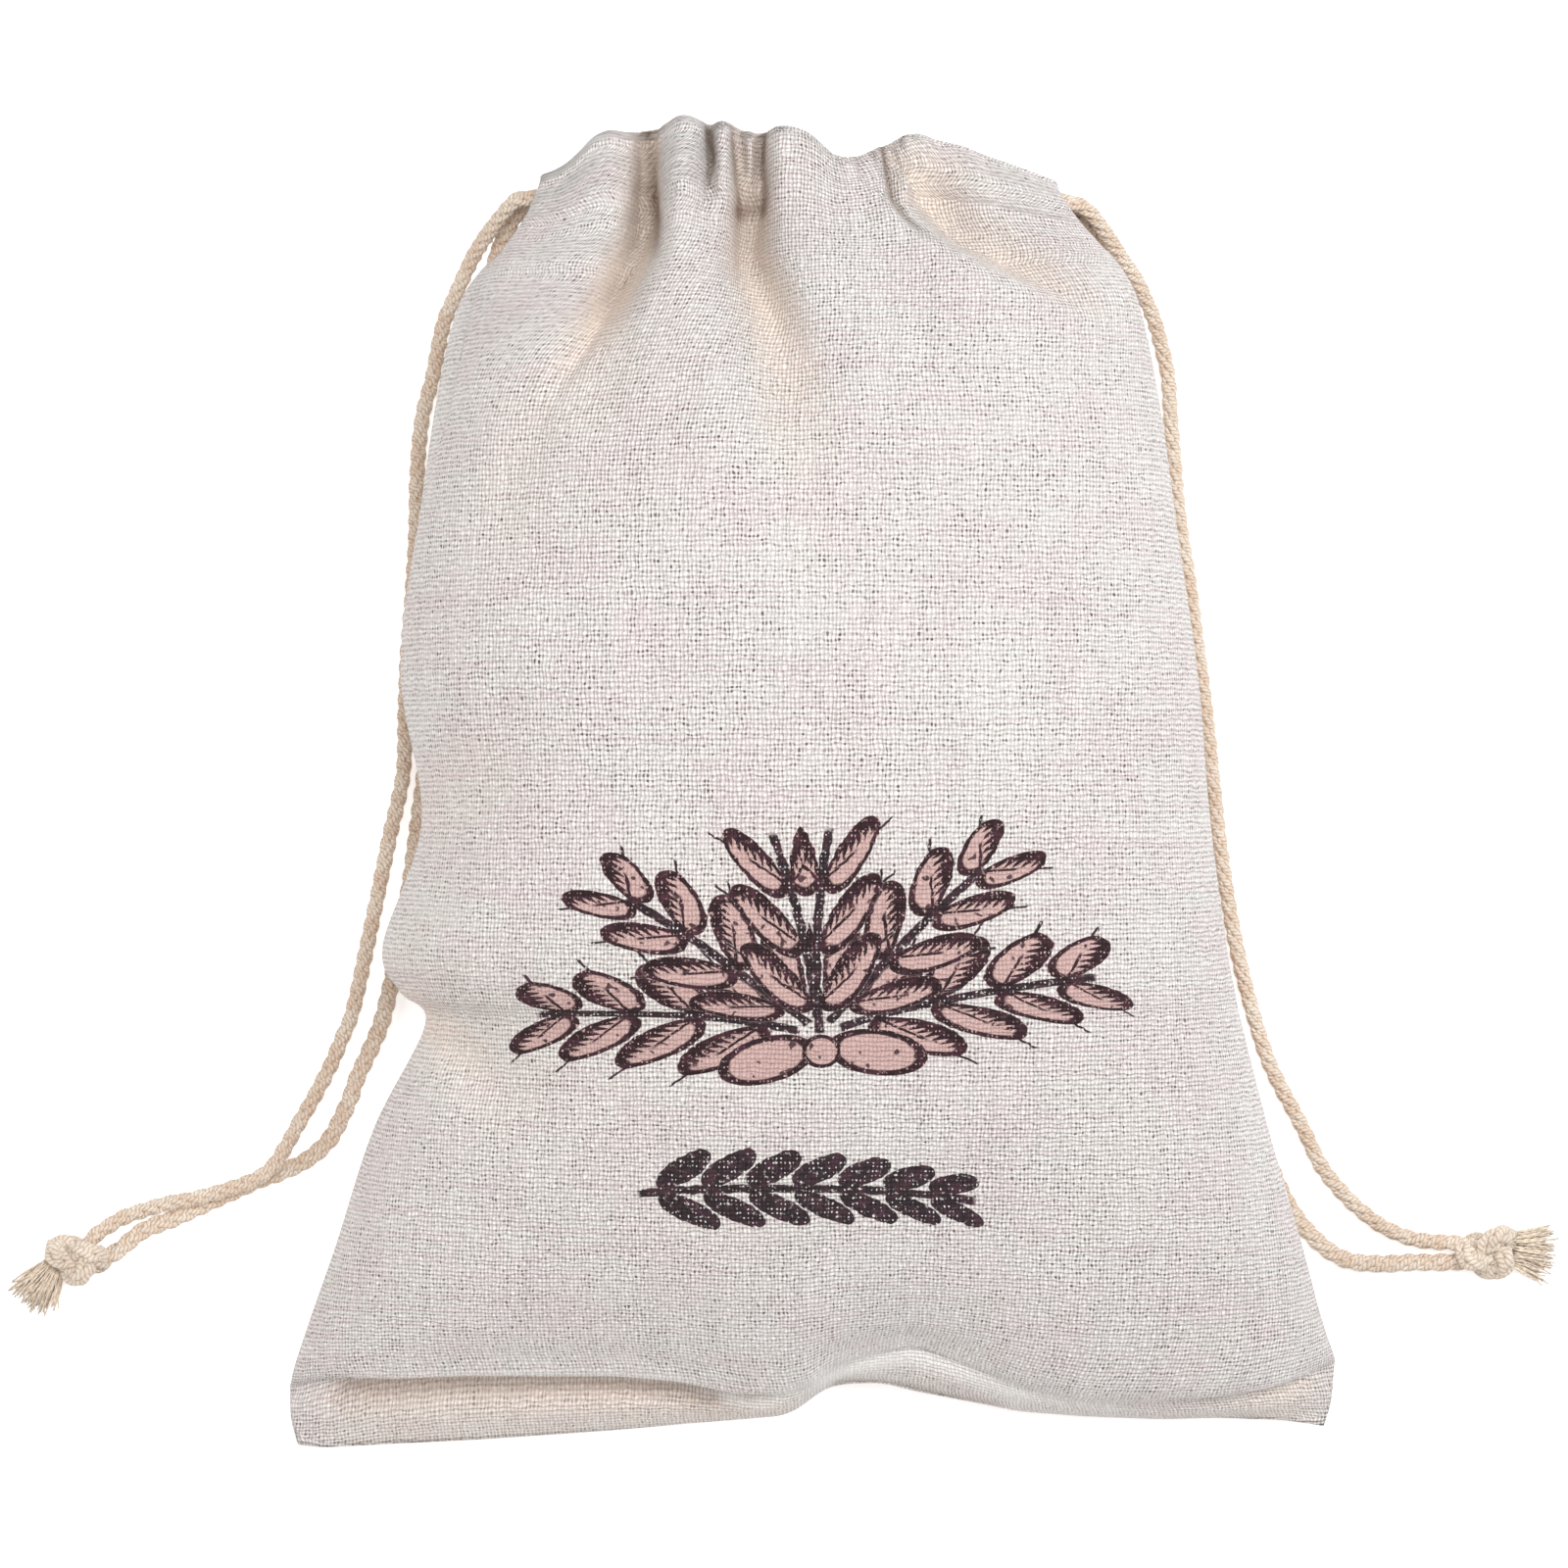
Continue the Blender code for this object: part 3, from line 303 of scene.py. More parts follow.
LOCK_TAPER, LOCK_TAPER_POWER = 0.50, 3    # how much thinner its tip is, and with what power
LOCK_START = 0.013       # how far each lock's finish is shifted from the last one's (m)

# ---- cloth: flat size of a panel as it was cut, and how it is laid ----
OWN_LENGTH = 0.35        # how far the weave follows each column's length, not the mean
CASING_RAMP = 0.9        # rows over which the cloth rises to its casing
CUFF_ROWS = 2            # rows over which the ends of the casing open
CUFF_POWER = 5           # power with which they open towards the side seams
RIM_DEPTH = 0.0012       # how far the turned cloth rounds out at the mouth's rim
RIM_ANGLES = (30.0, 60.0, 90.0, 120.0, 150.0)    # rows of the rim, round its fold
FOLD_SHADE_DEPTH = 0.0110    # depth of a fold at which its painted warm shade is strongest
FOOT_LIP = 0.0012        # the lip over the strip stands this far above the crease line
# y up from that lip, and how strong the painted warm shade on the strip is there
FOOT_SHADES = ((-0.0150, 0.40), (-0.0060, 0.75), (-0.0012, 1.00), (0.0002, 1.00), (0.0012, 0.00))
FOOT_SHADE_SHARE = 0.90        # strength of that painted shade on the strip at most

# ---- the print: its centres seen from above, and its tilts in degrees ----
PRINT_PLACES = {"sheaf": (-0.0010, -0.0400), "sprig": (0.0005, -0.1010)}
SHEAF_TILT = 5.0
SPRIG_TILT = 7.0
# the right half of the sheaf, in the order in which it is laid; headings are in degrees
SHEAF_EARS = (
    # foot x, y       heading length grain
    ((0.006, -0.027), 17.0, 0.072, 0.0178),
    ((0.003, -0.025), 50.0, 0.062, 0.0170),
    ((0.000, -0.028), 90.0, 0.060, 0.0176),
)
SHEAF_LOOPS = (
    # centre x, y       heading half length, half width
    ((0.0150, -0.0350), -12.0, 0.0135, 0.0066),
    ((0.0000, -0.0335), 0.0, 0.0052, 0.0048),
)
SPRIG_SHAPE = ((-0.049, -0.003), 0.0, 0.092, 0.0125)
# how an ear is drawn. A pair holds the two values between which a mask turns from 0 to 1
EAR_BEND, SOLID_BEND = 2.2, 1.6      # how much an ear, or the sprig, bends (per m)
EAR_TAPER = 0.42                     # how much smaller the grains at its tip are
GRAIN_REACH, GRAIN_WIDTH = 0.52, 0.47    # a grain's middle and half width, in spacings
GRAIN_LENGTH = 0.93                  # its half length, as a share of its middle's reach
GRAIN_POINT = 1.5                    # power that shapes a grain's ends
GRAIN_EDGE, OUTLINE = (1.08, 1.0), (0.56, 0.68)    # 1 is the rim of a grain
LOOP_EDGE, LOOP_OUTLINE = (1.06, 1.0), (0.55, 0.66)
HATCH_PITCH, HATCH_SHARE, SHADE_EDGE = 0.0016, 0.20, (0.22, 0.34)    # shading on a grain
INK_LINE, STEM_LINE = (0.0007, 0.0004), (0.0015, 0.0011)    # half widths of lines (m)
STEM_START, STEM_TIP = (-0.001, 0.0), 0.002
# along a grain, where 0 is its middle and 1 its end
CREASE_END, BRISTLE_START, BRISTLE_END = (0.3, 0.1), (0.90, 0.98), (1.5, 1.4)
INK_RATE, INK_WIDTH = 420.0, 0.0014  # how finely and how far the ink's edges run
WEAR_RATE, WEAR_EDGES = 700.0, (0.24, 0.40)      # specks where the ink is gone
BARE_EDGES, BARE_SHARE = (0.50, 0.95), 0.8       # raised threads that it doesn't reach
FRECKLE_NOISE, FRECKLE_EDGES, FRECKLE_SHARE = (0.55, 0.0), (0.70, 0.74), 0.9
THIN_NOISE, THIN_EDGES = (260.0, 1.0), (0.4, 0.7)    # where the ink is thinner
INK_SHARE, FILL_SHARE = 0.97, 0.88   # how far ink and filling cover the cloth

# ---- the weave. A rate is in waves per metre of cloth ----
WAVER_RATE, WAVER_WIDTH = 55.0, 0.0012           # how the warps run to and fro together
SAG_RATES, SAG_WIDTH = (40.0, 14.0), 0.0014      # how the wefts sag, up and across the bag
OWN_RATE, OWN_WIDTH = 260.0, 1.1     # how one thread strays, its width in spacings
OWN_SHARE = 0.6                      # how far its neighbour strays another way
CROSSING_EDGE = 3.0                  # how sharply warp and weft change places
THREAD_FLATNESS = 0.30               # power of a thread's height along it
HOLE_EDGES, HOLE_DEPTH = (0.35, 1.0), 0.6
SLUB_RATE, SLUB_APART = 22.0, (3.7, 3.3)         # along a thread, and between neighbours
LOOSE_RATE, LOOSE_EDGES = 75.0, (0.34, 0.60)     # patches of looser weave
# a range is what a mask is multiplied by, and then what is added
LOOSE_RANGE = (0.40, 0.60)
# masks of the painted shade in the gaps between threads and of the painted glints on thread tops
GAP_EDGES, GAP_POWER, GAP_RANGE = (0.50, 0.86), 1.8, (0.95, 0.10)
TOP_EDGES, TOP_RANGE = (0.62, 0.94), (0.85, 0.15)

# ---- finish of the linen. A noise is its rate, its detail and its roughness ----
CLOUD_NOISE, CLOUD_EDGES = (32.0, 3.0, 0.6), (0.38, 0.66)
WARMTH_NOISE, WARMTH_EDGES, WARMTH_SHARE = (9.0, 2.0), (0.35, 0.75), 0.35
FUZZ_NOISE, FUZZ_RANGE = (1400.0, 2.0), (0.36, 0.58)
STREAK_SHARE = 0.50                  # how much a thread's own tone shows
SLUB_EDGES, SLUB_SHARE = (0.52, 0.70), 0.55
# how strongly the painted fold shade, the painted slit shadow and the painted lip highlight are
# laid on
FOLD_SHADE_SHARE, SLIT_SHADE_SHARE, LIP_HIGHLIGHT_SHARE = 0.9, 0.9, 0.95
FOLD_DULLING = 0.55                  # how much less the painted gap shade and the painted thread glints show in a fold
LINEN_ROUGHNESS = (0.2, 0.68)
LINEN_SHINE, INK_SHINE = 0.35, 0.10
LINEN_SHEEN, INK_SHEEN = 0.10, 0.01
THREAD_SWELL = (0.8, 0.6)            # how much higher a thick stretch of thread stands
# a bump is its height and its strength
RUMPLE_NOISE, RUMPLE_BUMP = (130.0, 3.0, 0.55), (0.0012, 0.35)
THREAD_BUMP = (0.00036, 0.90)

# ---- finish of the yarns ----
CORD_TWIST, FIBRE_TWIST = 5200.0, 2400.0         # how fast the fibres turn (rad per m)
FIBRE_RATES, FIBRE_EDGES, FIBRE_HEIGHT = (1.7, 260.0), (0.3, 0.6), 0.6
PLY_EDGES, SUNK_SHARE = (0.35, 0.0), 0.85        # painted shade between the twisted fibres
BLOTCH_RATE, BLOTCH_EDGES = 150.0, (0.35, 0.7)   # lighter clouds
YARN_BUMP = (0.00030, 0.9)

# ---- stage ----
CAMERA_PLACE = (-0.0084, 0.0033, 1.300)
CAMERA_LENS = 102.4      # mm, as the sensor's width is
CAMERA_SENSOR = 36.0
CAMERA_CLIP = (0.05, 20.0)
WHITE = (1.0, 1.0, 1.0)
FLOOR_COLOUR = (0.93, 0.93, 0.93)
FLOOR_SIZE = 4.0
FLOOR_LEVEL = -0.0002
FLOOR_GLOW = 0.44
WORLD_LIGHT = 0.28
LAMPS = (
    # name         place               towards           size        power, colour
    ("key light", (0.95, 0.30, 1.25), (0.0, 0.0, 0.05), (0.6, 0.6), 12.2, (0.95, 0.98, 1.0)),
    ("top light", (0.12, 0.40, 1.65), (0.0, 0.0, 0.05), (0.7, 0.7), 15.4, (0.95, 0.98, 1.0)),
    ("fill light", (-1.1, -0.5, 1.00), (0.0, 0.0, 0.05), (0.8, 0.8), 7.4, (1.0, 0.97, 0.95)),
)

# ---- smaller folds and creases that only the cloth here has, in the same columns ----
FRONT_CREASES = (
    ("hip crease 1", ((-0.122, -0.056), (-0.111, -0.0615), (-0.098, -0.066)),
     -0.0020, 0.0000, 0.0024, 0.0016, 0.004),
    ("hip crease 2", ((-0.120, -0.046), (-0.108, -0.0495), (-0.092, -0.0500)),
     -0.0016, 0.0000, 0.0022, 0.0030, 0.005),
    ("hip crease 3", ((-0.1215, -0.036), (-0.110, -0.0365), (-0.094, -0.033)),
     -0.0012, 0.0000, 0.0026, 0.0034, 0.006),
    ("hip crease 4", ((-0.108, -0.0640), (-0.0950, -0.0760), (-0.0800, -0.0900)),
     -0.0016, 0.0000, 0.0030, 0.0040, 0.010),
    ("waist crease", ((-0.114, 0.004), (-0.100, 0.009), (-0.082, 0.020)),
     -0.0010, 0.0000, 0.0030, 0.0040, 0.007),
    ("shoulder crease 1", ((-0.072, 0.170), (-0.079, 0.148), (-0.090, 0.118)),
     -0.0014, 0.0000, 0.0026, 0.0032, 0.007),
    ("shoulder crease 2", ((-0.062, 0.183), (-0.066, 0.162), (-0.076, 0.135)),
     0.0012, 0.0000, 0.0026, 0.0032, 0.008),
    ("mouth pucker 1", ((-0.053, 0.185), (-0.0535, 0.172), (-0.056, 0.160)),
     -0.0016, -0.0004, 0.0013, 0.0013, 0.003),
    ("mouth pucker 2", ((-0.059, 0.184), (-0.0600, 0.172), (-0.064, 0.158)),
     -0.0014, 0.0000, 0.0014, 0.0014, 0.004),
    ("ridge crease", ((-0.0400, 0.188), (-0.0402, 0.176), (-0.0405, 0.166)),
     -0.0012, 0.0000, 0.0010, 0.0010, 0.003),
    ("pocket pleat", ((-0.0178, 0.190), (-0.0178, 0.178), (-0.0178, 0.165)),
     0.0160, 0.0020, 0.0020, 0.0020, 0.002),
    ("pocket brow", ((-0.0105, 0.188), (-0.0105, 0.170), (-0.0125, 0.159)),
     0.0030, 0.0000, 0.0018, 0.0040, 0.004),
    ("mouth pucker 3", ((0.0050, 0.178), (0.0058, 0.168), (0.008, 0.160)),
     -0.0026, 0.0000, 0.0012, 0.0014, 0.004),
    ("mouth pucker 4", ((0.0090, 0.178), (0.0097, 0.170), (0.011, 0.162)),
     -0.0020, 0.0000, 0.0010, 0.0012, 0.003),
    ("mouth pucker 5", ((0.0165, 0.180), (0.0172, 0.170), (0.019, 0.162)),
     -0.0020, 0.0000, 0.0010, 0.0012, 0.003),
    ("hollow edge", ((0.026, 0.1575), (0.0345, 0.1515), (0.0460, 0.1450), (0.0590, 0.1378),
                     (0.074, 0.1305)), 0.0030, 0.0012, 0.0060, 0.0012, 0.003),
    ("hollow tail", ((0.054, 0.1445), (0.069, 0.1370), (0.0835, 0.1305)),
     -0.0040, -0.0008, 0.0020, 0.0070, 0.004),
    ("valley deep", ((-0.0445, 0.166), (-0.0465, 0.152), (-0.0530, 0.136), (-0.0600, 0.120)),
     -0.0040, 0.0000, 0.0050, 0.0022, 0.007),
    ("ridge top", ((-0.0385, 0.162), (-0.0400, 0.149), (-0.0440, 0.136), (-0.0500, 0.122)),
     0.0030, 0.0000, 0.0024, 0.0050, 0.006),
    ("pocket deep", ((-0.0175, 0.162), (-0.0180, 0.149), (-0.0130, 0.134), (-0.0080, 0.118)),
     -0.0028, 0.0000, 0.0034, 0.0030, 0.008),
    ("mouth pucker 6", ((0.0270, 0.184), (0.0276, 0.177), (0.0290, 0.171)),
     -0.0022, 0.0000, 0.0011, 0.0011, 0.002),
    ("mouth pucker 7", ((0.0465, 0.180), (0.0490, 0.168), (0.056, 0.156)),
     -0.0012, 0.0000, 0.0016, 0.0022, 0.005),
    ("mouth pucker 8", ((0.0570, 0.176), (0.0600, 0.164), (0.067, 0.152)),
     0.0010, 0.0000, 0.0018, 0.0024, 0.006),
    ("chest trough", ((-0.004, 0.084), (-0.001, 0.062), (0.000, 0.040)),
     -0.0016, 0.0000, 0.0060, 0.0070, 0.014),
    ("left chest crease", ((-0.076, 0.100), (-0.084, 0.080), (-0.088, 0.058)),
     -0.0022, 0.0000, 0.0070, 0.0060, 0.012),
    ("foot crease 1", ((-0.118, -0.166), (-0.100, -0.150), (-0.074, -0.138)),
     0.0014, 0.0000, 0.0040, 0.0060, 0.012),
    ("foot crease 2", ((0.132, -0.168), (0.112, -0.150), (0.088, -0.140)),
     0.0014, 0.0000, 0.0050, 0.0040, 0.012),
    ("arch filling", ((0.000, -0.1640), (0.012, -0.1602), (0.026, -0.1562), (0.040, -0.1606),
                      (0.060, -0.1690)), 0.0034, 0.0016, 0.0036, 0.0040, 0.004),
    ("valley tail", ((-0.0530, 0.1400), (-0.0620, 0.1230), (-0.0700, 0.1100), (-0.0765, 0.0990)),
     -0.0044, 0.0000, 0.0050, 0.0013, 0.003),
    ("ridge tail", ((-0.0480, 0.1380), (-0.0570, 0.1210), (-0.0650, 0.1080)),
     0.0022, 0.0000, 0.0018, 0.0050, 0.004),
    ("lap crease", ((0.026, -0.158), (0.012, -0.146), (-0.006, -0.138)),
     0.0012, 0.0000, 0.0040, 0.0050, 0.012),
)
BACK_CREASES = (
    ("back crease 1", ((-0.060, 0.186), (-0.062, 0.160), (-0.078, 0.118)),
     0.0016, 0.0000, 0.0020, 0.0024, 0.008),
    ("back crease 2", ((-0.026, 0.186), (-0.026, 0.160), (-0.029, 0.128)),
     -0.0016, 0.0000, 0.0020, 0.0020, 0.007),
    ("back crease 3", ((0.009, 0.186), (0.010, 0.160), (0.014, 0.130)),
     -0.0014, 0.0000, 0.0020, 0.0020, 0.007),
    ("back crease 4", ((0.058, 0.184), (0.062, 0.158), (0.078, 0.120)),
     0.0016, 0.0000, 0.0020, 0.0024, 0.008),
)
# ---- slits where the gathered cloth closes on itself, in the same columns: here the two
# heights are how deep the slit is, as a share of SLIT_DEPTH, and how strong its painted shadow is.
# The last two are painted shade on the hem ----
SLIT_DEPTH = 0.0045
SLITS = (
    ("left slit", ((-0.0461, 0.185), (-0.0453, 0.176), (-0.0440, 0.166), (-0.0430, 0.159),
                   (-0.0438, 0.149)), 0.90, 0.30, 0.0009, 0.0007, 0.0012),
    ("left hole", ((-0.0450, 0.169), (-0.0440, 0.159), (-0.0452, 0.147)),
     0.55, 0.00, 0.0038, 0.0006, 0.0036),
    ("ridge slit", ((-0.0296, 0.185), (-0.0280, 0.176), (-0.0298, 0.169), (-0.0303, 0.163)),
     0.90, 0.10, 0.0008, 0.0008, 0.0008),
    ("pocket slit, left", ((-0.0228, 0.185), (-0.0220, 0.174), (-0.0209, 0.166),
                           (-0.0212, 0.158), (-0.0213, 0.140)), 0.80, 0.10, 0.0008, 0.0009, 0.0014),
    ("pocket slit, right", ((-0.0138, 0.185), (-0.0144, 0.176), (-0.0136, 0.167),
                            (-0.0143, 0.161)), 0.80, 0.50, 0.0009, 0.0008, 0.0010),
    ("pocket hole", ((-0.0198, 0.1622), (-0.0154, 0.1636)), 0.65, 0.50, 0.0024, 0.0024, 0.0022),
    ("right slit", ((0.0185, 0.182), (0.0200, 0.172), (0.0214, 0.165), (0.0244, 0.159),
                    (0.0293, 0.154), (0.0380, 0.1485)), 0.90, 0.10, 0.0008, 0.0008, 0.0014),
    ("pucker slit 1", ((0.0240, 0.182), (0.0262, 0.174)), 0.45, 0.10, 0.0006, 0.0006, 0.0008),
    ("pucker slit 2", ((0.0072, 0.178), (0.0082, 0.171)), 0.40, 0.10, 0.0006, 0.0006, 0.0007),
    ("pucker slit 3", ((0.0113, 0.178), (0.0128, 0.171)), 0.35, 0.10, 0.0006, 0.0006, 0.0007),
    ("pucker slit 4", ((0.0153, 0.181), (0.0176, 0.173)), 0.45, 0.10, 0.0006, 0.0006, 0.0007),
    ("arch shade", ((0.0070, -0.1675), (0.0280, -0.1698), (0.0520, -0.1748)),
     0.55, 0.30, 0.0022, 0.0022, 0.0018),
    ("strip shade", ((-0.1330, -0.1695), (-0.1050, -0.1676), (-0.0580, -0.1668), (-0.0380, -0.1688),
                     (-0.0240, -0.1725)), 0.42, 0.40, 0.0062, 0.0014, 0.0034),
)
# ---- painted highlight on the smooth lips of the cloth, in the same columns: the heights are how strong it is ----
LIPS = (
    ("lip, strip", ((-0.1300, -0.1668), (-0.1050, -0.1648), (-0.0580, -0.1642), (-0.0380, -0.1658),
                    (-0.0240, -0.1700)), 0.55, 0.75, 0.0005, 0.0018, 0.0022),
    ("lip, left", ((-0.0240, -0.1722), (-0.0140, -0.1728), (-0.0050, -0.1690)),
     0.80, 0.60, 0.0022, 0.0022, 0.0026),
    ("lip, arch", ((0.0000, -0.1665), (0.0120, -0.1618), (0.0270, -0.1580), (0.0420, -0.1630),
                   (0.0580, -0.1702), (0.0860, -0.1750)), 1.00, 0.30, 0.0032, 0.0034, 0.0024),
    ("lip, right", ((0.1180, -0.1735), (0.1300, -0.1688), (0.1440, -0.1650)),
     0.40, 0.40, 0.0005, 0.0014, 0.0014),
)
# ---- long soft waves in the cloth: waves per metre along x and y, phase, height ----
WAVES = (
    (9.0, 5.0, 0.3, 0.00060),
    (-6.0, 11.0, 1.9, 0.00055),
    (17.0, -8.0, 4.1, 0.00030),
    (13.0, 21.0, 2.7, 0.00022),
    (-31.0, 17.0, 5.2, 0.00012),
    (39.0, 27.0, 0.8, 0.00009),
)
WAVE_ROWS = 4            # rows over which they grow from the bottom seam

# ---- what differs between the panels; the sign is the way outwards ----
SIGNS = {"front": 1.0, "back": -1.0}
SHAPES = {"front": FRONT_SHAPE, "back": BACK_SHAPE}
FOLDS = {"front": FRONT_FOLDS, "back": BACK_FOLDS}
CREASES = {"front": FRONT_CREASES, "back": BACK_CREASES}


def smooth_curve(values, at):
    """Catmull-Rom reading of a list of numbers or points at a fractional index."""
    last = len(values) - 1
    i = min(int(math.floor(at)), last - 1)
    s = at - i
    a, b, c, d = (np.asarray(values[min(max(k, 0), last)], float) for k in range(i - 1, i + 3))
    return 0.5 * (2 * b + (c - a) * s + (2 * a - 5 * b + 4 * c - d) * s ** 2
                  + (3 * b - a - 3 * c + d) * s ** 3)


def edge_line(table, column, x):
    """A column of a wavy edge's table at x, with its corners eased over EDGE_SOFTNESS."""
    xs = [row[0] for row in table]
    values = [row[column] for row in table]
    shifts = np.linspace(-EDGE_SOFTNESS, EDGE_SOFTNESS, EDGE_READINGS)
    return sum(np.interp(x + shift, xs, values) for shift in shifts) / len(shifts)


def fold_height(folds, x, y):
    """Sum of the folds' heights at the points x, y, which are arrays."""
    total = np.zeros_like(x)
    for _, path, high_start, high_end, left, right, end_width in folds:
        best = np.full_like(x, np.inf)
        side = np.zeros_like(x)
        share = np.zeros_like(x)
        spans = [math.dist(a, b) for a, b in zip(path, path[1:])]
        done = 0.0
        for (ax, ay), (bx, by), span in zip(path, path[1:], spans):
            dx, dy = (bx - ax) / span, (by - ay) / span
            along = (x - ax) * dx + (y - ay) * dy
            held = np.clip(along, 0.0, span)
            away = np.hypot(x - ax - held * dx, y - ay - held * dy)
            nearer = away < best
            best = np.where(nearer, away, best)
            side = np.where(nearer, (x - ax) * dy - (y - ay) * dx, side)
            share = np.where(nearer, (done + held) / sum(spans), share)
            done += span
        start_width = np.where(side > 0, left, right)
        width = start_width + (end_width - start_width) * share ** FOLD_FADE
        height = high_start + (high_end - high_start) * share ** FOLD_FADE
        total += height * np.exp(-(best / width) ** 2)
    return total


def section_at(place):
    """The section's named values at a fractional row of SECTIONS."""
    return {field: float(smooth_curve([row[number] for row in SECTIONS], place))
            for number, field in enumerate(FIELDS, start=1)}


def swell(t, round_share, shape):
    """Height of a panel across its width: 0 at the seams, 1 in the middle."""
    fullness, steepness = shape
    power = 2.0 + fullness * round_share
    return np.clip(1.0 - np.abs(t) ** power, 0.0, 1.0) ** (1.0 - steepness * round_share)


def crease_moves(place):
    """How far the crease moves a row: forward, up, and up on the shelf."""
    moves = [(0.0, 0.0, 0.0)] * len(SECTIONS)
    for name, *amounts in CREASE_MOVES:
        moves[SECTION_NAMES.index(name)] = tuple(amounts)
    return smooth_curve(moves, place)


def casing_floor(t):
    """How far the inner face of a casing stands from the seam level."""
    return SEAM_GAP / 2 + MOUTH_RISE * (1.0 - t ** 2)


def waves(x, y):
    """Long soft waves that a flat piece of cloth is never without."""
    total = np.zeros_like(x)
    for across, along, phase, height in WAVES:
        total += height * np.sin(2 * math.pi * (across * x + along * y) + phase)
    return total


def outer_section(panel, place):
    """Dense points x, y, z and share t across one cross-section of a panel's outside."""
    sign = SIGNS[panel]
    section = section_at(place)
    t = np.sin(np.linspace(-math.pi / 2, math.pi / 2, SECTION_SAMPLES))
    middle = (section["left"] + section["right"]) / 2
    x = middle + t * (section["right"] - section["left"]) / 2
    y = np.full_like(x, section["y"])
    y += section["seam"] * (edge_line(BOTTOM_EDGE, SEAM_Y, x) - SEAM_LEVEL)
    y += section["tuck"] * (edge_line(BOTTOM_EDGE, CREASE_Y, x) - TUCK_LEVEL)
    y += section["top"] * (edge_line(MOUTH_EDGE, MOUTH_Y, x) - MOUTH_LEVEL)
    guard = 1.0 - np.abs(t) ** SEAM_GUARD
    held = min(max((place - FIRST_CASING_ROW) / CASING_RAMP + 1.0, 0.0), 1.0)
    rise = swell(t, section["round"], SHAPES[panel])
    z = section["side"] + sign * SEAM_GAP / 2 + (section[panel] - section["side"]) * rise
    if panel == "front":
        forward, up, shelf = crease_moves(place)
        strength = edge_line(BOTTOM_EDGE, CREASE_SHARE, x) * guard
        y += forward * strength
        z += up * strength + shelf * edge_line(BOTTOM_EDGE, SHELF_SHARE, x) * guard
    else:
        x = x - np.where(t < 0.0, section["bulge"] * 4.0 * rise * (1.0 - rise), 0.0)
    z += fold_height(FOLDS[panel], x, y) * guard
    detail = fold_height(CREASES[panel], x, y) + waves(x, y) * min(1.0, place / WAVE_ROWS)
    if panel == "front":
        detail -= SLIT_DEPTH * fold_height(SLITS, x, y)
    z += detail * guard
    limit = section["side"] + sign * casing_floor(t) + sign * CASING_COVER * guard
    z += held * (sign * np.maximum(sign * z, sign * limit) - z)
    if panel == "back":
        z = np.maximum(z, 0.0)
    return section, t, np.stack([x, y, z], axis=1)


def steps_between(points):
    """Distance from each point, or each row of points, to the next."""
    return np.linalg.norm(np.diff(points, axis=0), axis=-1)


def running_total(steps):
    """Sum of the steps before each point."""
    return np.concatenate([np.zeros_like(steps[:1]), np.cumsum(steps, axis=0)])


def points_at(wanted, lengths, points):
    """Points at the wanted lengths along a line."""
    return np.stack([np.interp(wanted, lengths, points[:, k]) for k in range(3)], axis=1)


def even_columns(points, t, columns):
    """Pick columns + 1 points at even lengths of cloth along a cross-section."""
    lengths = running_total(steps_between(points))
    wanted = np.linspace(0.0, lengths[-1], columns + 1)
    picked = points_at(wanted, lengths, points)
    return picked, np.interp(wanted, lengths, t), wanted - np.interp(0.0, picked[:, 0], wanted)


def row_places(panel, pitch):
    """Fractional rows of SECTIONS, a pitch of cloth apart along the middle line."""
    spans = len(SECTIONS) - 1
    fine = np.linspace(0.0, spans, ROW_READINGS * spans + 1)
    lines = np.array([outer_section(panel, float(place))[2] for place in fine])
    lines = lines[:, [SECTION_SAMPLES // 4, SECTION_SAMPLES // 2, 3 * SECTION_SAMPLES // 4]]
    lengths = running_total(steps_between(lines).mean(axis=1))
    count = int(round(lengths[-1] / pitch))
    return np.interp(np.linspace(0.0, lengths[-1], count + 1), lengths, fine)


# ---- meshes ----
def grid_mesh(name, points, flat, flip=False, kept=None):
    """A grid of faces, moved to rows x columns of points, with its cloth lengths as UV.

    kept holds named values to store at each point.
    """
    rows, columns = points.shape[0] - 1, points.shape[1] - 1
    bm = bmesh.new()
    bmesh.ops.create_grid(bm, x_segments=columns, y_segments=rows, size=0.5)
    if flip:
        bmesh.ops.reverse_faces(bm, faces=bm.faces[:])
    mesh = bpy.data.meshes.new(name)
    bm.to_mesh(mesh)
    bm.free()
    place = np.empty(len(mesh.vertices) * 3)
    mesh.vertices.foreach_get("co", place)
    place = place.reshape(-1, 3)
    column = np.rint((place[:, 0] + 0.5) * columns).astype(int)
    row = np.rint((place[:, 1] + 0.5) * rows).astype(int)
    mesh.vertices.foreach_set("co", points[row, column].ravel())
    corner = np.empty(len(mesh.loops), int)
    mesh.loops.foreach_get("vertex_index", corner)
    layer = mesh.uv_layers.new(name="Cloth")
    layer.data.foreach_set("uv", flat[row, column][corner].ravel())
    for label, values in (kept or {}).items():
        store = mesh.attributes.new(label, "FLOAT", "POINT")
        store.data.foreach_set("value", values[row, column])
    mesh.update()
    return mesh


def join_tubes(name, tubes):
    """Closed tubes in one mesh. Each is its rings of points and its UVs, and ends in a cap."""
    joined = bmesh.new()
    for points, flat in tubes:
        part = grid_mesh("tube", points, flat)
        joined.from_mesh(part)
        bpy.data.meshes.remove(part)
    bmesh.ops.remove_doubles(joined, verts=joined.verts[:], dist=WELD)
    open_edges = [edge for edge in joined.edges if edge.is_boundary]
    bmesh.ops.holes_fill(joined, edges=open_edges, sides=0)
    bmesh.ops.recalc_face_normals(joined, faces=joined.faces[:])
    mesh = bpy.data.meshes.new(name)
    joined.to_mesh(mesh)
    joined.free()
    mesh.shade_smooth()
    return mesh


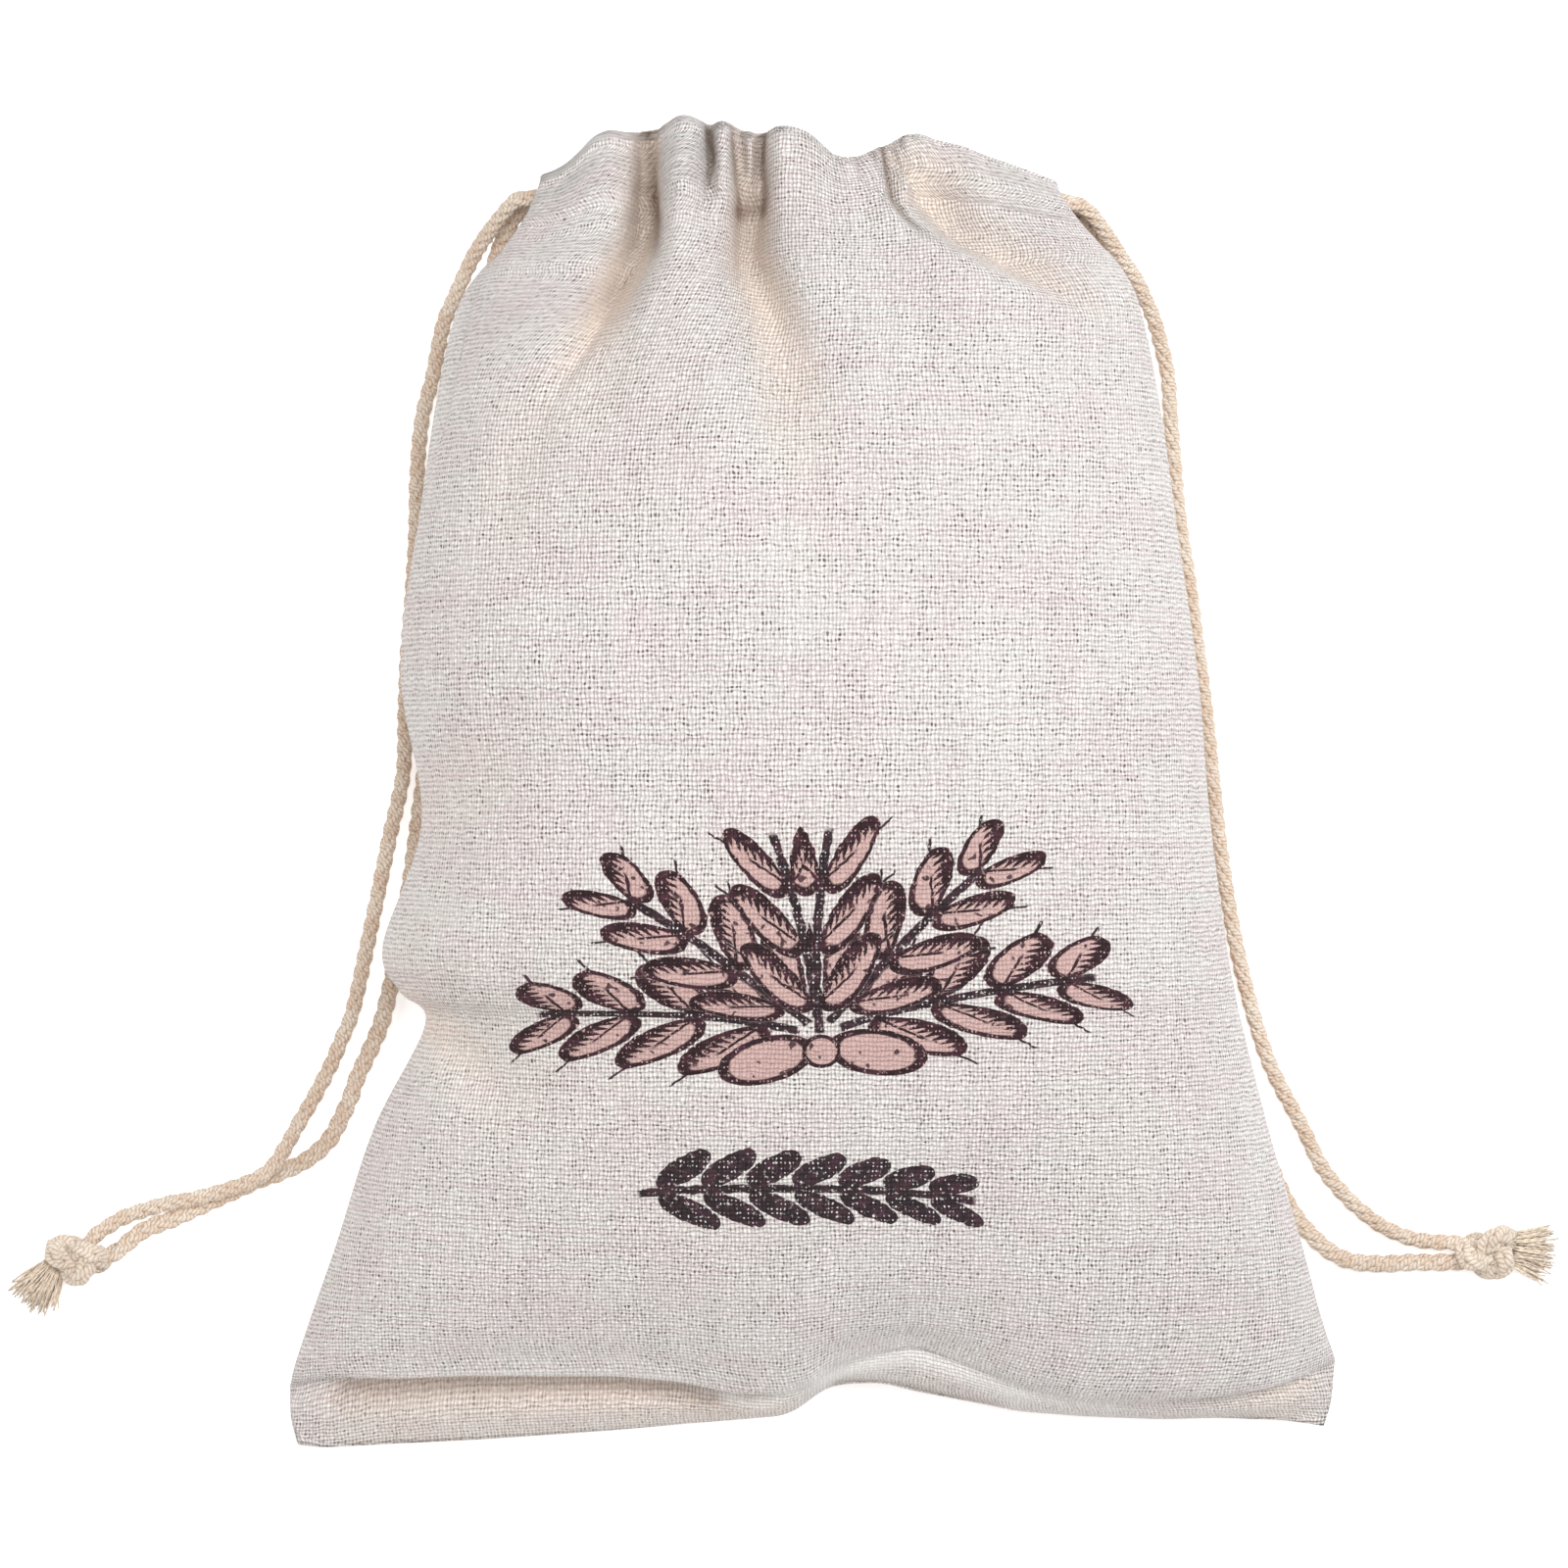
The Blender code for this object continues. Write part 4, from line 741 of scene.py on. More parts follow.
def along_curve(route, step):
    """Points a step apart on a smooth curve through the route's points, and their lengths."""
    readings = CURVE_READINGS * (len(route) - 1) + 1
    fine = np.array([smooth_curve(route, k / CURVE_READINGS) for k in range(readings)])
    lengths = running_total(steps_between(fine))
    wanted = np.linspace(0.0, lengths[-1], max(2, int(round(lengths[-1] / step))) + 1)
    return points_at(wanted, lengths, fine), wanted


def whole_route(route, radius):
    """A route's points with the heights of those on the table filled in."""
    return [point if len(point) == 3 else (*point, radius + TABLE_GAP) for point in route]


def side_frames(points):
    """Two directions across a line at each of its points, which turn as little as they can."""
    ahead = np.gradient(points, axis=0)
    ahead /= np.linalg.norm(ahead, axis=1)[:, None]
    across = np.cross(ahead[0], (0.0, 0.0, 1.0))
    if np.linalg.norm(across) < 0.1:
        across = np.cross(ahead[0], (0.0, 1.0, 0.0))
    first = []
    for direction in ahead:
        across = across - direction * np.dot(across, direction)
        across /= np.linalg.norm(across)
        first.append(across)
    first = np.array(first)
    return first, np.cross(ahead, first)


def tube_rings(points, radius, sides, start=0.0):
    """Rings of points round a line, and their UVs: round the tube, and along it in metres."""
    first, second = side_frames(points)
    radius = np.broadcast_to(radius, len(points))
    turn = np.linspace(0.0, 2 * math.pi, sides + 1)
    turn[-1] = 0.0
    rings = (points[:, None, :]
             + first[:, None, :] * (np.cos(turn)[None, :] * radius[:, None])[..., None]
             + second[:, None, :] * (np.sin(turn)[None, :] * radius[:, None])[..., None])
    flat = np.empty((len(points), sides + 1, 2))
    flat[..., 0] = np.linspace(0.0, 1.0, sides + 1)[None, :]
    flat[..., 1] = (running_total(steps_between(points)) + start)[:, None]
    return rings, flat


def braid_tubes(points, lengths, radius, pitch, sides=YARN_SIDES):
    """The yarns of a round braid along a line: half wind each way, two over and two under."""
    first, second = side_frames(points)
    ring = radius * YARN_RING
    tubes = []
    half = YARNS // 2
    spin = 2 * math.pi * lengths / pitch
    crossing = half * spin / math.pi - 0.5
    for number in range(YARNS):
        way = 1.0 if number < half else -1.0
        slot = number % half
        start = 2 * math.pi * slot / half + (0.0 if way > 0 else math.pi / half)
        angle = way * spin + start
        over = way * np.cos(math.pi / 2 * (way * crossing + 2 * slot) - math.pi / 4)
        reach = ring + radius * YARN_WAVE * math.sqrt(2.0) * over
        line = (points + first * (reach * np.cos(angle))[:, None]
                + second * (reach * np.sin(angle))[:, None])
        tubes.append(tube_rings(line, radius * YARN_SIZE, sides, start=number * YARN_START))
    tubes.append(tube_rings(points, ring, CORE_SIDES))
    return tubes


def turned_points(x, y, heading, ahead, side, up):
    """Points ahead and to the left of x, y as one faces heading, in degrees from +X."""
    c, s = math.cos(math.radians(heading)), math.sin(math.radians(heading))
    return np.stack([x + ahead * c - side * s, y + ahead * s + side * c, up], axis=1)


def knot_line(x, y, turned, long, wide, tube, wind):
    """The line of a tight overhand knot, laid flat on the table, and its lengths."""
    turn = np.linspace(0.0, 2 * math.pi, KNOT_POINTS) + wind
    ahead = (np.sin(turn) + 2.0 * np.sin(2 * turn)) / 3.0 * (long / 2 - tube)
    side = (np.cos(turn) - 2.0 * np.cos(2 * turn)) / 3.0 * (wide / 2 - tube)
    up = -np.sin(3 * turn) * (KNOT_HEIGHT / 2 - tube) + KNOT_HEIGHT / 2
    points = turned_points(x, y, turned, ahead, side, up)
    return points, running_total(steps_between(points))


def fray_tubes(locks, x, y, heads, root, fan, long, lift, seed):
    """Loose locks of fibre that fan out from the cord's cut end and come to rest."""
    random = np.random.default_rng(seed)
    tubes = []
    steps = np.linspace(0.0, 1.0, LOCK_POINTS)
    for number in range(locks):
        place = random.uniform(-1.0, 1.0)
        level = random.uniform(0.0, 1.0)
        reach = long * random.uniform(*LOCK_REACH) * (1.0 - LOCK_SHORTER * place * place)
        bow = random.normal(0.0, LOCK_BOW)
        curl = random.normal(0.0, LOCK_CURL)
        side = place * (root + (fan - root) * steps ** LOCK_SPREAD) / 2
        side = side + bow * np.sin(math.pi * steps) + curl * steps ** 2
        up = lift * (LOCK_LEVEL + (1.0 - LOCK_LEVEL) * level)
        up = up * (1.0 - LOCK_DROP * steps ** LOCK_DROP_POWER)
        up = up + random.normal(0.0, LOCK_SWAY) * np.sin(2 * math.pi * steps) + LOCK_LIFT
        radius = random.uniform(*LOCK_RADIUS) * (1.0 - LOCK_TAPER * steps ** LOCK_TAPER_POWER)
        up = np.maximum(up, radius + LOCK_CLEARANCE)
        points = turned_points(x, y, heads, steps * reach, side, up)
        tubes.append(tube_rings(points, radius, LOCK_SIDES, start=number * LOCK_START))
    return tubes


# ---- materials ----
class Field:
    """A value that changes over a surface. Arithmetic with it adds the nodes for it."""

    def __init__(self, nodes, socket):
        self.nodes = nodes
        self.socket = socket

    def __add__(self, other):
        return self.nodes.math("ADD", self, other)

    def __sub__(self, other):
        return self.nodes.math("SUBTRACT", self, other)

    def __rsub__(self, other):
        return self.nodes.math("SUBTRACT", other, self)

    def __mul__(self, other):
        return self.nodes.math("MULTIPLY", self, other)

    def __truediv__(self, other):
        return self.nodes.math("DIVIDE", self, other)

    def __pow__(self, other):
        return self.nodes.math("POWER", self, other)

    def __abs__(self):
        return self.nodes.math("ABSOLUTE", self)

    def scaled(self, gain, start, clamp=False):
        """The field times gain, on top of start."""
        return self.nodes.math("MULTIPLY_ADD", self, gain, start, clamp=clamp)


class Nodes:
    """Short ways to add and join the nodes of one material."""

    def __init__(self, name):
        self.material = bpy.data.materials.new(name)
        self.material.use_nodes = True
        self.tree = self.material.node_tree
        self.shader = self.tree.nodes["Principled BSDF"]

    def add(self, kind, **settings):
        node = self.tree.nodes.new(kind)
        for key, value in settings.items():
            setattr(node, key, value)
        return node

    def put(self, socket, value):
        """Give a socket a field, a number, or a colour of three numbers."""
        if isinstance(value, Field):
            self.tree.links.new(value.socket, socket)
        elif socket.type == "RGBA":
            socket.default_value = (*value, 1.0)
        else:
            socket.default_value = value

    def made(self, kind, values, output=0, **settings):
        """One output of a new node, whose inputs are given by number or name."""
        node = self.add(kind, **settings)
        for key, value in values.items():
            self.put(node.inputs[key], value)
        return Field(self, node.outputs[output])

    def dress(self, looks):
        """Give the shader's inputs their values, by name."""
        for label, value in looks.items():
            self.put(self.shader.inputs[label], value)

    def math(self, operation, a, b=0.0, c=0.0, clamp=False):
        return self.made("ShaderNodeMath", {0: a, 1: b, 2: c}, operation=operation,
                         use_clamp=clamp)

    def greatest(self, first, *others):
        for other in others:
            first = self.math("MAXIMUM", first, other)
        return first

    def step(self, value, low, high):
        """0 below low, 1 above high, smooth between; low may be the greater."""
        ends = (1.0, 0.0) if low > high else (0.0, 1.0)
        values = {"Value": value, "From Min": min(low, high), "From Max": max(low, high),
                  "To Min": ends[0], "To Max": ends[1]}
        return self.made("ShaderNodeMapRange", values, "Result",
                         interpolation_type="SMOOTHSTEP", clamp=True)

    def mix(self, factor, a, b, kind="MIX"):
        return self.made("ShaderNodeMix", {0: factor, 6: a, 7: b}, 2, data_type="RGBA",
                         blend_type=kind)

    def coats(self, colour, *layers):
        """A colour with others laid over it in turn, each by its own mask."""
        for mask, over in layers:
            colour = self.mix(mask, colour, over)
        return colour

    def blend(self, factor, a, b):
        return self.made("ShaderNodeMix", {0: factor, 2: a, 3: b}, data_type="FLOAT")

    def vector(self, x, y, z=0.0):
        return self.made("ShaderNodeCombineXYZ", {0: x, 1: y, 2: z})

    def split(self, vector):
        node = self.add("ShaderNodeSeparateXYZ")
        self.put(node.inputs[0], vector)
        return [Field(self, output) for output in node.outputs]

    def cloth_place(self):
        """Place on the flat cloth or along the yarn, from the piece's own UV map."""
        return self.split(self.made("ShaderNodeUVMap", {}, uv_map="Cloth"))[:2]

    def stored(self, label):
        return self.made("ShaderNodeAttribute", {}, "Fac", attribute_name=label)

    def noise(self, vector, scale=1.0, detail=2.0, rough=0.5):
        values = {"Vector": vector, "Scale": scale, "Detail": detail, "Roughness": rough}
        return self.made("ShaderNodeTexNoise", values, "Fac")

    def wander(self, width, *place, detail=2.0):
        """Noise that goes to and fro over a width."""
        return self.noise(self.vector(*place), detail=detail).scaled(width, -width / 2)

    def cell_noise(self, *place):
        return self.made("ShaderNodeTexWhiteNoise", {"Vector": self.vector(*place)}, "Value")

    def bump(self, height, distance, strength, **below):
        values = {"Distance": distance, "Strength": strength, "Height": height, **below}
        return self.made("ShaderNodeBump", values, "Normal")


def weave(n, u, v, sizes):
    """A plain weave: height, tone and thickness of its threads, and masks of gaps and tops."""
    across, along = sizes.thread_across, sizes.thread_along
    waver = n.wander(WAVER_WIDTH, u * WAVER_RATE, v * WAVER_RATE)
    sag = n.wander(SAG_WIDTH, v * SAG_RATES[0], u * SAG_RATES[1], 7.0)
    own_u = n.wander(OWN_WIDTH * across, u * (OWN_SHARE / across), v * OWN_RATE, 2.0, detail=1.0)
    own_v = n.wander(OWN_WIDTH * along, u * OWN_RATE, v * (OWN_SHARE / along), 4.0, detail=1.0)
    u = u + (waver + own_u)
    v = v + (sag + own_v)
    turn_u, turn_v = u * (math.pi / across), v * (math.pi / along)
    wave_u, wave_v = n.math("SINE", turn_u), n.math("SINE", turn_v)
    round_u, round_v = abs(wave_u), abs(wave_v)
    warp_on_top = (wave_u * wave_v).scaled(CROSSING_EDGE, 0.5, clamp=True)
    warp = round_u * round_v ** THREAD_FLATNESS
    weft = round_u ** THREAD_FLATNESS * round_v
    hole = abs(n.math("COSINE", turn_u) * n.math("COSINE", turn_v))
    height = n.blend(warp_on_top, weft, warp) - n.step(hole, *HOLE_EDGES) * HOLE_DEPTH
    share_u, share_v = u / across, v / along
    thread_u, thread_v = n.math("FLOOR", share_u), n.math("FLOOR", share_v)
    slub_weft = n.noise(n.vector(u * SLUB_RATE, thread_v * SLUB_APART[0]), detail=1.0)
    slub_warp = n.noise(n.vector(thread_u * SLUB_APART[1], v * SLUB_RATE), detail=1.0)
    tone = n.blend(warp_on_top, slub_weft, slub_warp)
    loose = n.step(n.noise(n.vector(u, v, 0.4), LOOSE_RATE), *LOOSE_EDGES)
    chance = n.cell_noise(n.math("ROUND", share_u), n.math("ROUND", share_v)) ** GAP_POWER
    gap = n.step(hole, *GAP_EDGES) * (chance.scaled(*GAP_RANGE) * loose.scaled(*LOOSE_RANGE))
    chance = n.cell_noise(thread_u, thread_v, 5.0).scaled(*TOP_RANGE)
    top = n.step(round_u * round_v, *TOP_EDGES) * chance
    return height, tone, slub_weft, gap, top


def turned_fields(x, y, centre, heading):
    """Lengths along a heading from a centre, and to its left."""
    c, s = math.cos(math.radians(heading)), math.sin(math.radians(heading))
    dx, dy = x - centre[0], y - centre[1]
    return dx * c + dy * s, dy * c - dx * s


def ear(n, x, y, foot, heading, length, grain, solid=False):
    """An ear of grain from foot towards heading: its ink, its filling, and where it lies."""
    along, side = turned_fields(x, y, foot, heading)
    away = abs(side + along * along * (SOLID_BEND if solid else EAR_BEND))
    slant = along - away
    cell = n.math("FLOORED_MODULO", slant, grain) - grain / 2
    middle = slant - cell
    share = middle / length
    reach = (1.0 - share * share * EAR_TAPER) * (grain * GRAIN_REACH)
    kept = n.math("GREATER_THAN", middle, 0.0) * n.math("LESS_THAN", middle, length)
    body = (away - reach) / (reach * GRAIN_LENGTH)
    shape = (abs(cell) / (grain * GRAIN_WIDTH)) ** GRAIN_POINT + body * body
    inside = n.step(shape, *GRAIN_EDGE) * kept
    middle_line = n.step(abs(cell), *INK_LINE)
    marks = (n.step(away, *STEM_LINE)
             * (n.step(along, *STEM_START) * n.step(along, length, length - STEM_TIP)))
    if solid:
        ink = inside
    else:
        hatch = n.math("SINE", away * (2 * math.pi / HATCH_PITCH))
        shade = hatch.scaled(HATCH_SHARE, cell / (grain * GRAIN_WIDTH))
        ink = n.greatest(n.step(shape, *OUTLINE), n.step(shade, *SHADE_EDGE),
                         middle_line * n.step(body, *CREASE_END))
        bristle = middle_line * (n.step(body, *BRISTLE_START) * n.step(body, *BRISTLE_END))
        marks = n.greatest(marks, bristle * kept)
    return n.greatest(ink * inside, marks), inside, n.greatest(inside, marks)


def ribbon_loop(n, x, y, centre, heading, long, wide):
    """A leaf-shaped loop of ribbon: its ink, its filling and where it lies."""
    along, side = turned_fields(x, y, centre, heading)
    along, side = along / long, side / wide
    shape = along * along + side * side
    inside = n.step(shape, *LOOP_EDGE)
    return n.step(shape, *LOOP_OUTLINE) * inside, inside, inside


def print_place(n, u, v, centre, tilt):
    """Place in the frame of a print, whose centre lies tilted on the cloth."""
    node = n.add("ShaderNodeMapping", vector_type="TEXTURE")
    n.put(node.inputs["Vector"], n.vector(u, v))
    node.inputs["Location"].default_value = (*centre, 0.0)
    node.inputs["Rotation"].default_value = (0.0, 0.0, math.radians(tilt))
    return n.split(Field(n, node.outputs[0]))[:2]


def printed_sheaf(n, u, v, centre):
    """A tied sheaf of grain, with ink and a filling colour as masks."""
    x, y = print_place(n, u, v, centre, SHEAF_TILT)
    x = x + n.wander(INK_WIDTH, u * INK_RATE, v * INK_RATE, detail=1.0)
    mirrored = abs(x)
    ink, fill = 0.0, 0.0
    layers = [(ear, *row) for row in SHEAF_EARS] + [(ribbon_loop, *row) for row in SHEAF_LOOPS]
    for make, *shape in layers:
        layer_ink, layer_fill, lies = make(n, mirrored, y, *shape)
        ink = n.blend(lies, ink, layer_ink)
        fill = n.blend(lies, fill, layer_fill)
    return ink, fill


def printed_sprig(n, u, v, centre):
    """A plain leafy sprig under the sheaf, all in ink."""
    x, y = print_place(n, u, v, centre, SPRIG_TILT)
    y = y + n.wander(INK_WIDTH, u * INK_RATE, v * INK_RATE, 3.0, detail=1.0)
    return ear(n, x, y, *SPRIG_SHAPE, solid=True)[0]


def print_over(n, colour, u, v, top, sizes, centres):
    """The cloth's colour with the print over it, and where the ink lies."""
    ink, fill = printed_sheaf(n, u, v, centres["sheaf"])
    ink = n.greatest(ink, printed_sprig(n, u, v, centres["sprig"]))
    fine = n.vector(u * WEAR_RATE, v * WEAR_RATE)
    worn = n.step(n.noise(fine), *WEAR_EDGES)
    bare = n.step(top, *BARE_EDGES) * BARE_SHARE
    freckle = n.step(n.noise(fine, *FRECKLE_NOISE), *FRECKLE_EDGES)
    ink = n.greatest(ink, freckle * fill * FRECKLE_SHARE) * ((1.0 - bare) * worn)
    thin = n.step(n.noise(n.vector(u, v), *THIN_NOISE), *THIN_EDGES)
    depth = n.mix(thin, sizes.ink_colour, sizes.ink_thin)
    return n.coats(colour, (fill * FILL_SHARE, sizes.fill_colour), (ink * INK_SHARE, depth)), ink


def linen_material(name, sizes, centres=None):
    """Natural plain-weave linen, with the print where its centres are given."""
    n = Nodes(name)
    u, v = n.cloth_place()
    height, tone, slub, gap, top = weave(n, u, v, sizes)
    at = n.vector(u, v)
    sunk, slit, lip = (n.stored(label) for label in ("FoldShade", "SlitShade", "LipHighlight"))
    cloud = n.step(n.noise(at, *CLOUD_NOISE), *CLOUD_EDGES)
    warmth = n.step(n.noise(n.vector(v, u), *WARMTH_NOISE), *WARMTH_EDGES)
    streak = tone.scaled(STREAK_SHARE, n.noise(at, *FUZZ_NOISE).scaled(*FUZZ_RANGE))
    dull = sunk.scaled(-FOLD_DULLING, 1.0)
    # painted warm shade in the folds and under the hem's lip, over the linen's own tones
    colour = n.coats(n.mix(cloud, sizes.linen_colour, sizes.linen_blush),
                     (warmth * WARMTH_SHARE, sizes.linen_warm),
                     (n.step(slub, *SLUB_EDGES) * SLUB_SHARE, sizes.slub_colour),
                     (sunk * FOLD_SHADE_SHARE, sizes.fold_shade_colour))
    colour = n.mix(1.0, colour, n.vector(streak, streak, streak), "MULTIPLY")
    # painted shade between the threads and in the slits, painted glints on thread tops, painted
    # highlight on the hem's lips
    colour = n.coats(colour,
                     (gap * dull, sizes.gap_shade_colour),
                     (top * dull, sizes.glint_highlight_colour),
                     (slit * SLIT_SHADE_SHARE, sizes.slit_shade_colour),
                     (lip * LIP_HIGHLIGHT_SHARE, sizes.lip_highlight_colour))
    shine, sheen = LINEN_SHINE, LINEN_SHEEN
    if centres:
        colour, ink = print_over(n, colour, u, v, top, sizes, centres)
        shine = ink.scaled(INK_SHINE - LINEN_SHINE, LINEN_SHINE)
        sheen = ink.scaled(INK_SHEEN - LINEN_SHEEN, LINEN_SHEEN)
    rumple = n.bump(n.noise(at, *RUMPLE_NOISE), *RUMPLE_BUMP)
    thread = height * slub.scaled(*THREAD_SWELL)
    n.dress({"Base Color": colour, "Roughness": tone.scaled(*LINEN_ROUGHNESS),
             "Specular IOR Level": shine, "Sheen Weight": sheen, "Sheen Roughness": 0.5,
             "Normal": n.bump(thread, *THREAD_BUMP, Normal=rumple)})
    return n.material


def yarn_material(name, colour, shade, light, twist=CORD_TWIST):
    """Soft cotton yarn: fine twisted fibres along each yarn, with painted shade where they sink in.
    """
    n = Nodes(name)
    u, v = n.cloth_place()
    lay = u * (4.0 * math.pi) + v * twist
    ply = n.math("SINE", lay).scaled(0.5, 0.5)
    fibre = n.noise(n.vector(lay * FIBRE_RATES[0], v * FIBRE_RATES[1]))
    place = n.made("ShaderNodeTexCoord", {}, "Object")
    blotch = n.step(n.noise(place, BLOTCH_RATE), *BLOTCH_EDGES)
    # painted shade in the grooves where the fibres sink in
    sunk = n.step(ply, *PLY_EDGES) * n.step(fibre, *FIBRE_EDGES)
    base = n.coats(n.mix(blotch, colour, light), (sunk * SUNK_SHARE, shade))
    n.dress({"Base Color": base, "Roughness": 0.9, "Specular IOR Level": 0.25,
             "Sheen Weight": 0.25,
             "Normal": n.bump(ply + fibre * FIBRE_HEIGHT, *YARN_BUMP)})
    return n.material


# ---- pieces ----
def add_piece(name, mesh, material, replaced):
    """Link a finished mesh, let it ride on the bag and stand for its solid."""
    mesh.materials.append(material)
    item = bpy.data.objects.new(name, mesh)
    bpy.context.scene.collection.objects.link(item)
    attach(item, BODY)
    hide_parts(replaced)
    return item


def panel_points(panel, columns, pitch, cuff):
    """Rows of cloth from the bottom seam to the mouth's rim and back inside its casing."""
    sign = SIGNS[panel]
    outer, inner, across = [], [], []
    for place in row_places(panel, pitch):
        section, t, dense = outer_section(panel, float(place))
        open_share = np.clip((place - FIRST_CASING_ROW + 1) / CUFF_ROWS, 0.0, 1.0)
        dense[:, 2] += sign * cuff * open_share * np.abs(t) ** CUFF_POWER
        if panel == "back":
            dense[:, 2] = np.maximum(dense[:, 2], 0.0)
        points, shares, widths = even_columns(dense, t, columns)
        outer.append(points)
        across.append(widths)
        if place >= FIRST_CASING_ROW:
            turned = points.copy()
            turned[:, 2] = section["side"] + sign * casing_floor(shares)
            inner.append(turned)
    outer, across = np.array(outer), np.array(across)
    inner = np.array(inner)[::-1]
    top, under = outer[-1], inner[0]
    depth = (top[:, 2] - under[:, 2]) / 2
    rim = []
    for angle in RIM_ANGLES:
        turn = math.radians(angle)
        row = top.copy()
        row[:, 2] = (top[:, 2] + under[:, 2]) / 2 + depth * math.cos(turn)
        row[:, 1] += RIM_DEPTH * (math.sin(turn) - 0.5)
        rim.append(row)
    points = np.concatenate([outer, np.array(rim), inner])
    along = running_total(steps_between(points))
    along -= along[len(outer) // 2] - along[len(outer) // 2].mean()
    along = OWN_LENGTH * along + (1.0 - OWN_LENGTH) * along.mean(axis=1)[:, None]
    extra = len(points) - len(outer)
    across = np.concatenate([across, np.repeat(across[-1:], extra, axis=0)])
    flat = np.stack([across, along], axis=2)
    return points, flat, cloth_masks(panel, points, len(outer))


def cloth_masks(panel, points, outer_rows):
    """Masks, 0 to 1, of painted shade where a panel lies in folds and closes in slits, and of
    painted highlight on its pale lips.
    """
    x, y = points[..., 0], points[..., 1]
    sunk = -SIGNS[panel] * fold_height(FOLDS[panel] + CREASES[panel], x, y)
    sunk = np.clip(sunk / FOLD_SHADE_DEPTH, 0.0, 1.0)
    # painted warm shade on the strip below the hem's lip, strongest just under it
    foot = np.interp(y - (edge_line(BOTTOM_EDGE, CREASE_Y, x) + FOOT_LIP), *zip(*FOOT_SHADES))
    foot *= edge_line(BOTTOM_EDGE, CREASE_SHARE, x)
    hollow = np.maximum(sunk, FOOT_SHADE_SHARE * foot)
    # the rim and the turned-in casing take the full painted fold shade
    hollow[outer_rows:] = 1.0
    masks = {"FoldShade": hollow, "SlitShade": np.zeros_like(x), "LipHighlight": np.zeros_like(x)}
    if panel == "front":
        # painted shadow in the slits, and painted shade on the hem's strip and arch
        masks["SlitShade"] = np.clip(fold_height(SLITS, x, y), 0.0, 1.0)
        # painted highlight on the pale lips of the hem
        masks["LipHighlight"] = np.clip(fold_height(LIPS, x, y), 0.0, 1.0)
    return masks


def flat_place(points, flat, x, y):
    """The cloth lengths of the outer point that is nearest to x, y seen from above."""
    away = np.hypot(points[..., 0] - x, points[..., 1] - y)
    row, column = np.unravel_index(np.argmin(away), away.shape)
    return float(flat[row, column, 0]), float(flat[row, column, 1])


def add_sheet(panel, columns, sizes, prints):
    """One cloth panel as a thin sheet, turned over at the mouth into its casing."""
    points, flat, kept = panel_points(panel, columns, sizes.cloth_pitch, sizes.cuff)
    centres = {name: flat_place(points, flat, *place) for name, place in prints.items()}
    name = panel + "_cloth"
    mesh = grid_mesh(name, points, flat, flip=panel == "back", kept=kept)
    mesh.shade_smooth()
    material = linen_material("linen_" + panel, sizes, centres)
    item = add_piece(name, mesh, material, panel + "_panel")
    thick = item.modifiers.new("Thickness", "SOLIDIFY")
    thick.thickness = sizes.cloth_thickness
    thick.offset = -1.0
    return item


def add_area(name, place, towards, size, power, colour):
    """A soft lamp at a place, turned towards another."""
    lamp = bpy.data.lights.new(name, "AREA")
    lamp.shape = "RECTANGLE"
    lamp.size, lamp.size_y = size
    lamp.energy = power
    lamp.color = colour
    item = bpy.data.objects.new(name, lamp)
    item.location = place
    direction = Vector(towards) - Vector(place)
    item.rotation_euler = direction.to_track_quat("-Z", "Y").to_euler()
    bpy.context.scene.collection.objects.link(item)


# ---- what a user would change ----
def length(name, default, low, high, description):
    return bpy.props.FloatProperty(name=name, default=default, min=low, max=high,
                                   subtype="DISTANCE", unit="LENGTH", precision=5,
                                   description=description)


def tint(name, default, description):
    return bpy.props.FloatVectorProperty(name=name, default=default, size=3, min=0.0, max=1.0,
                                         subtype="COLOR", description=description)


def count(name, default, low, high, description):
    return bpy.props.IntProperty(name=name, default=default, min=low, max=high,
                                 description=description)


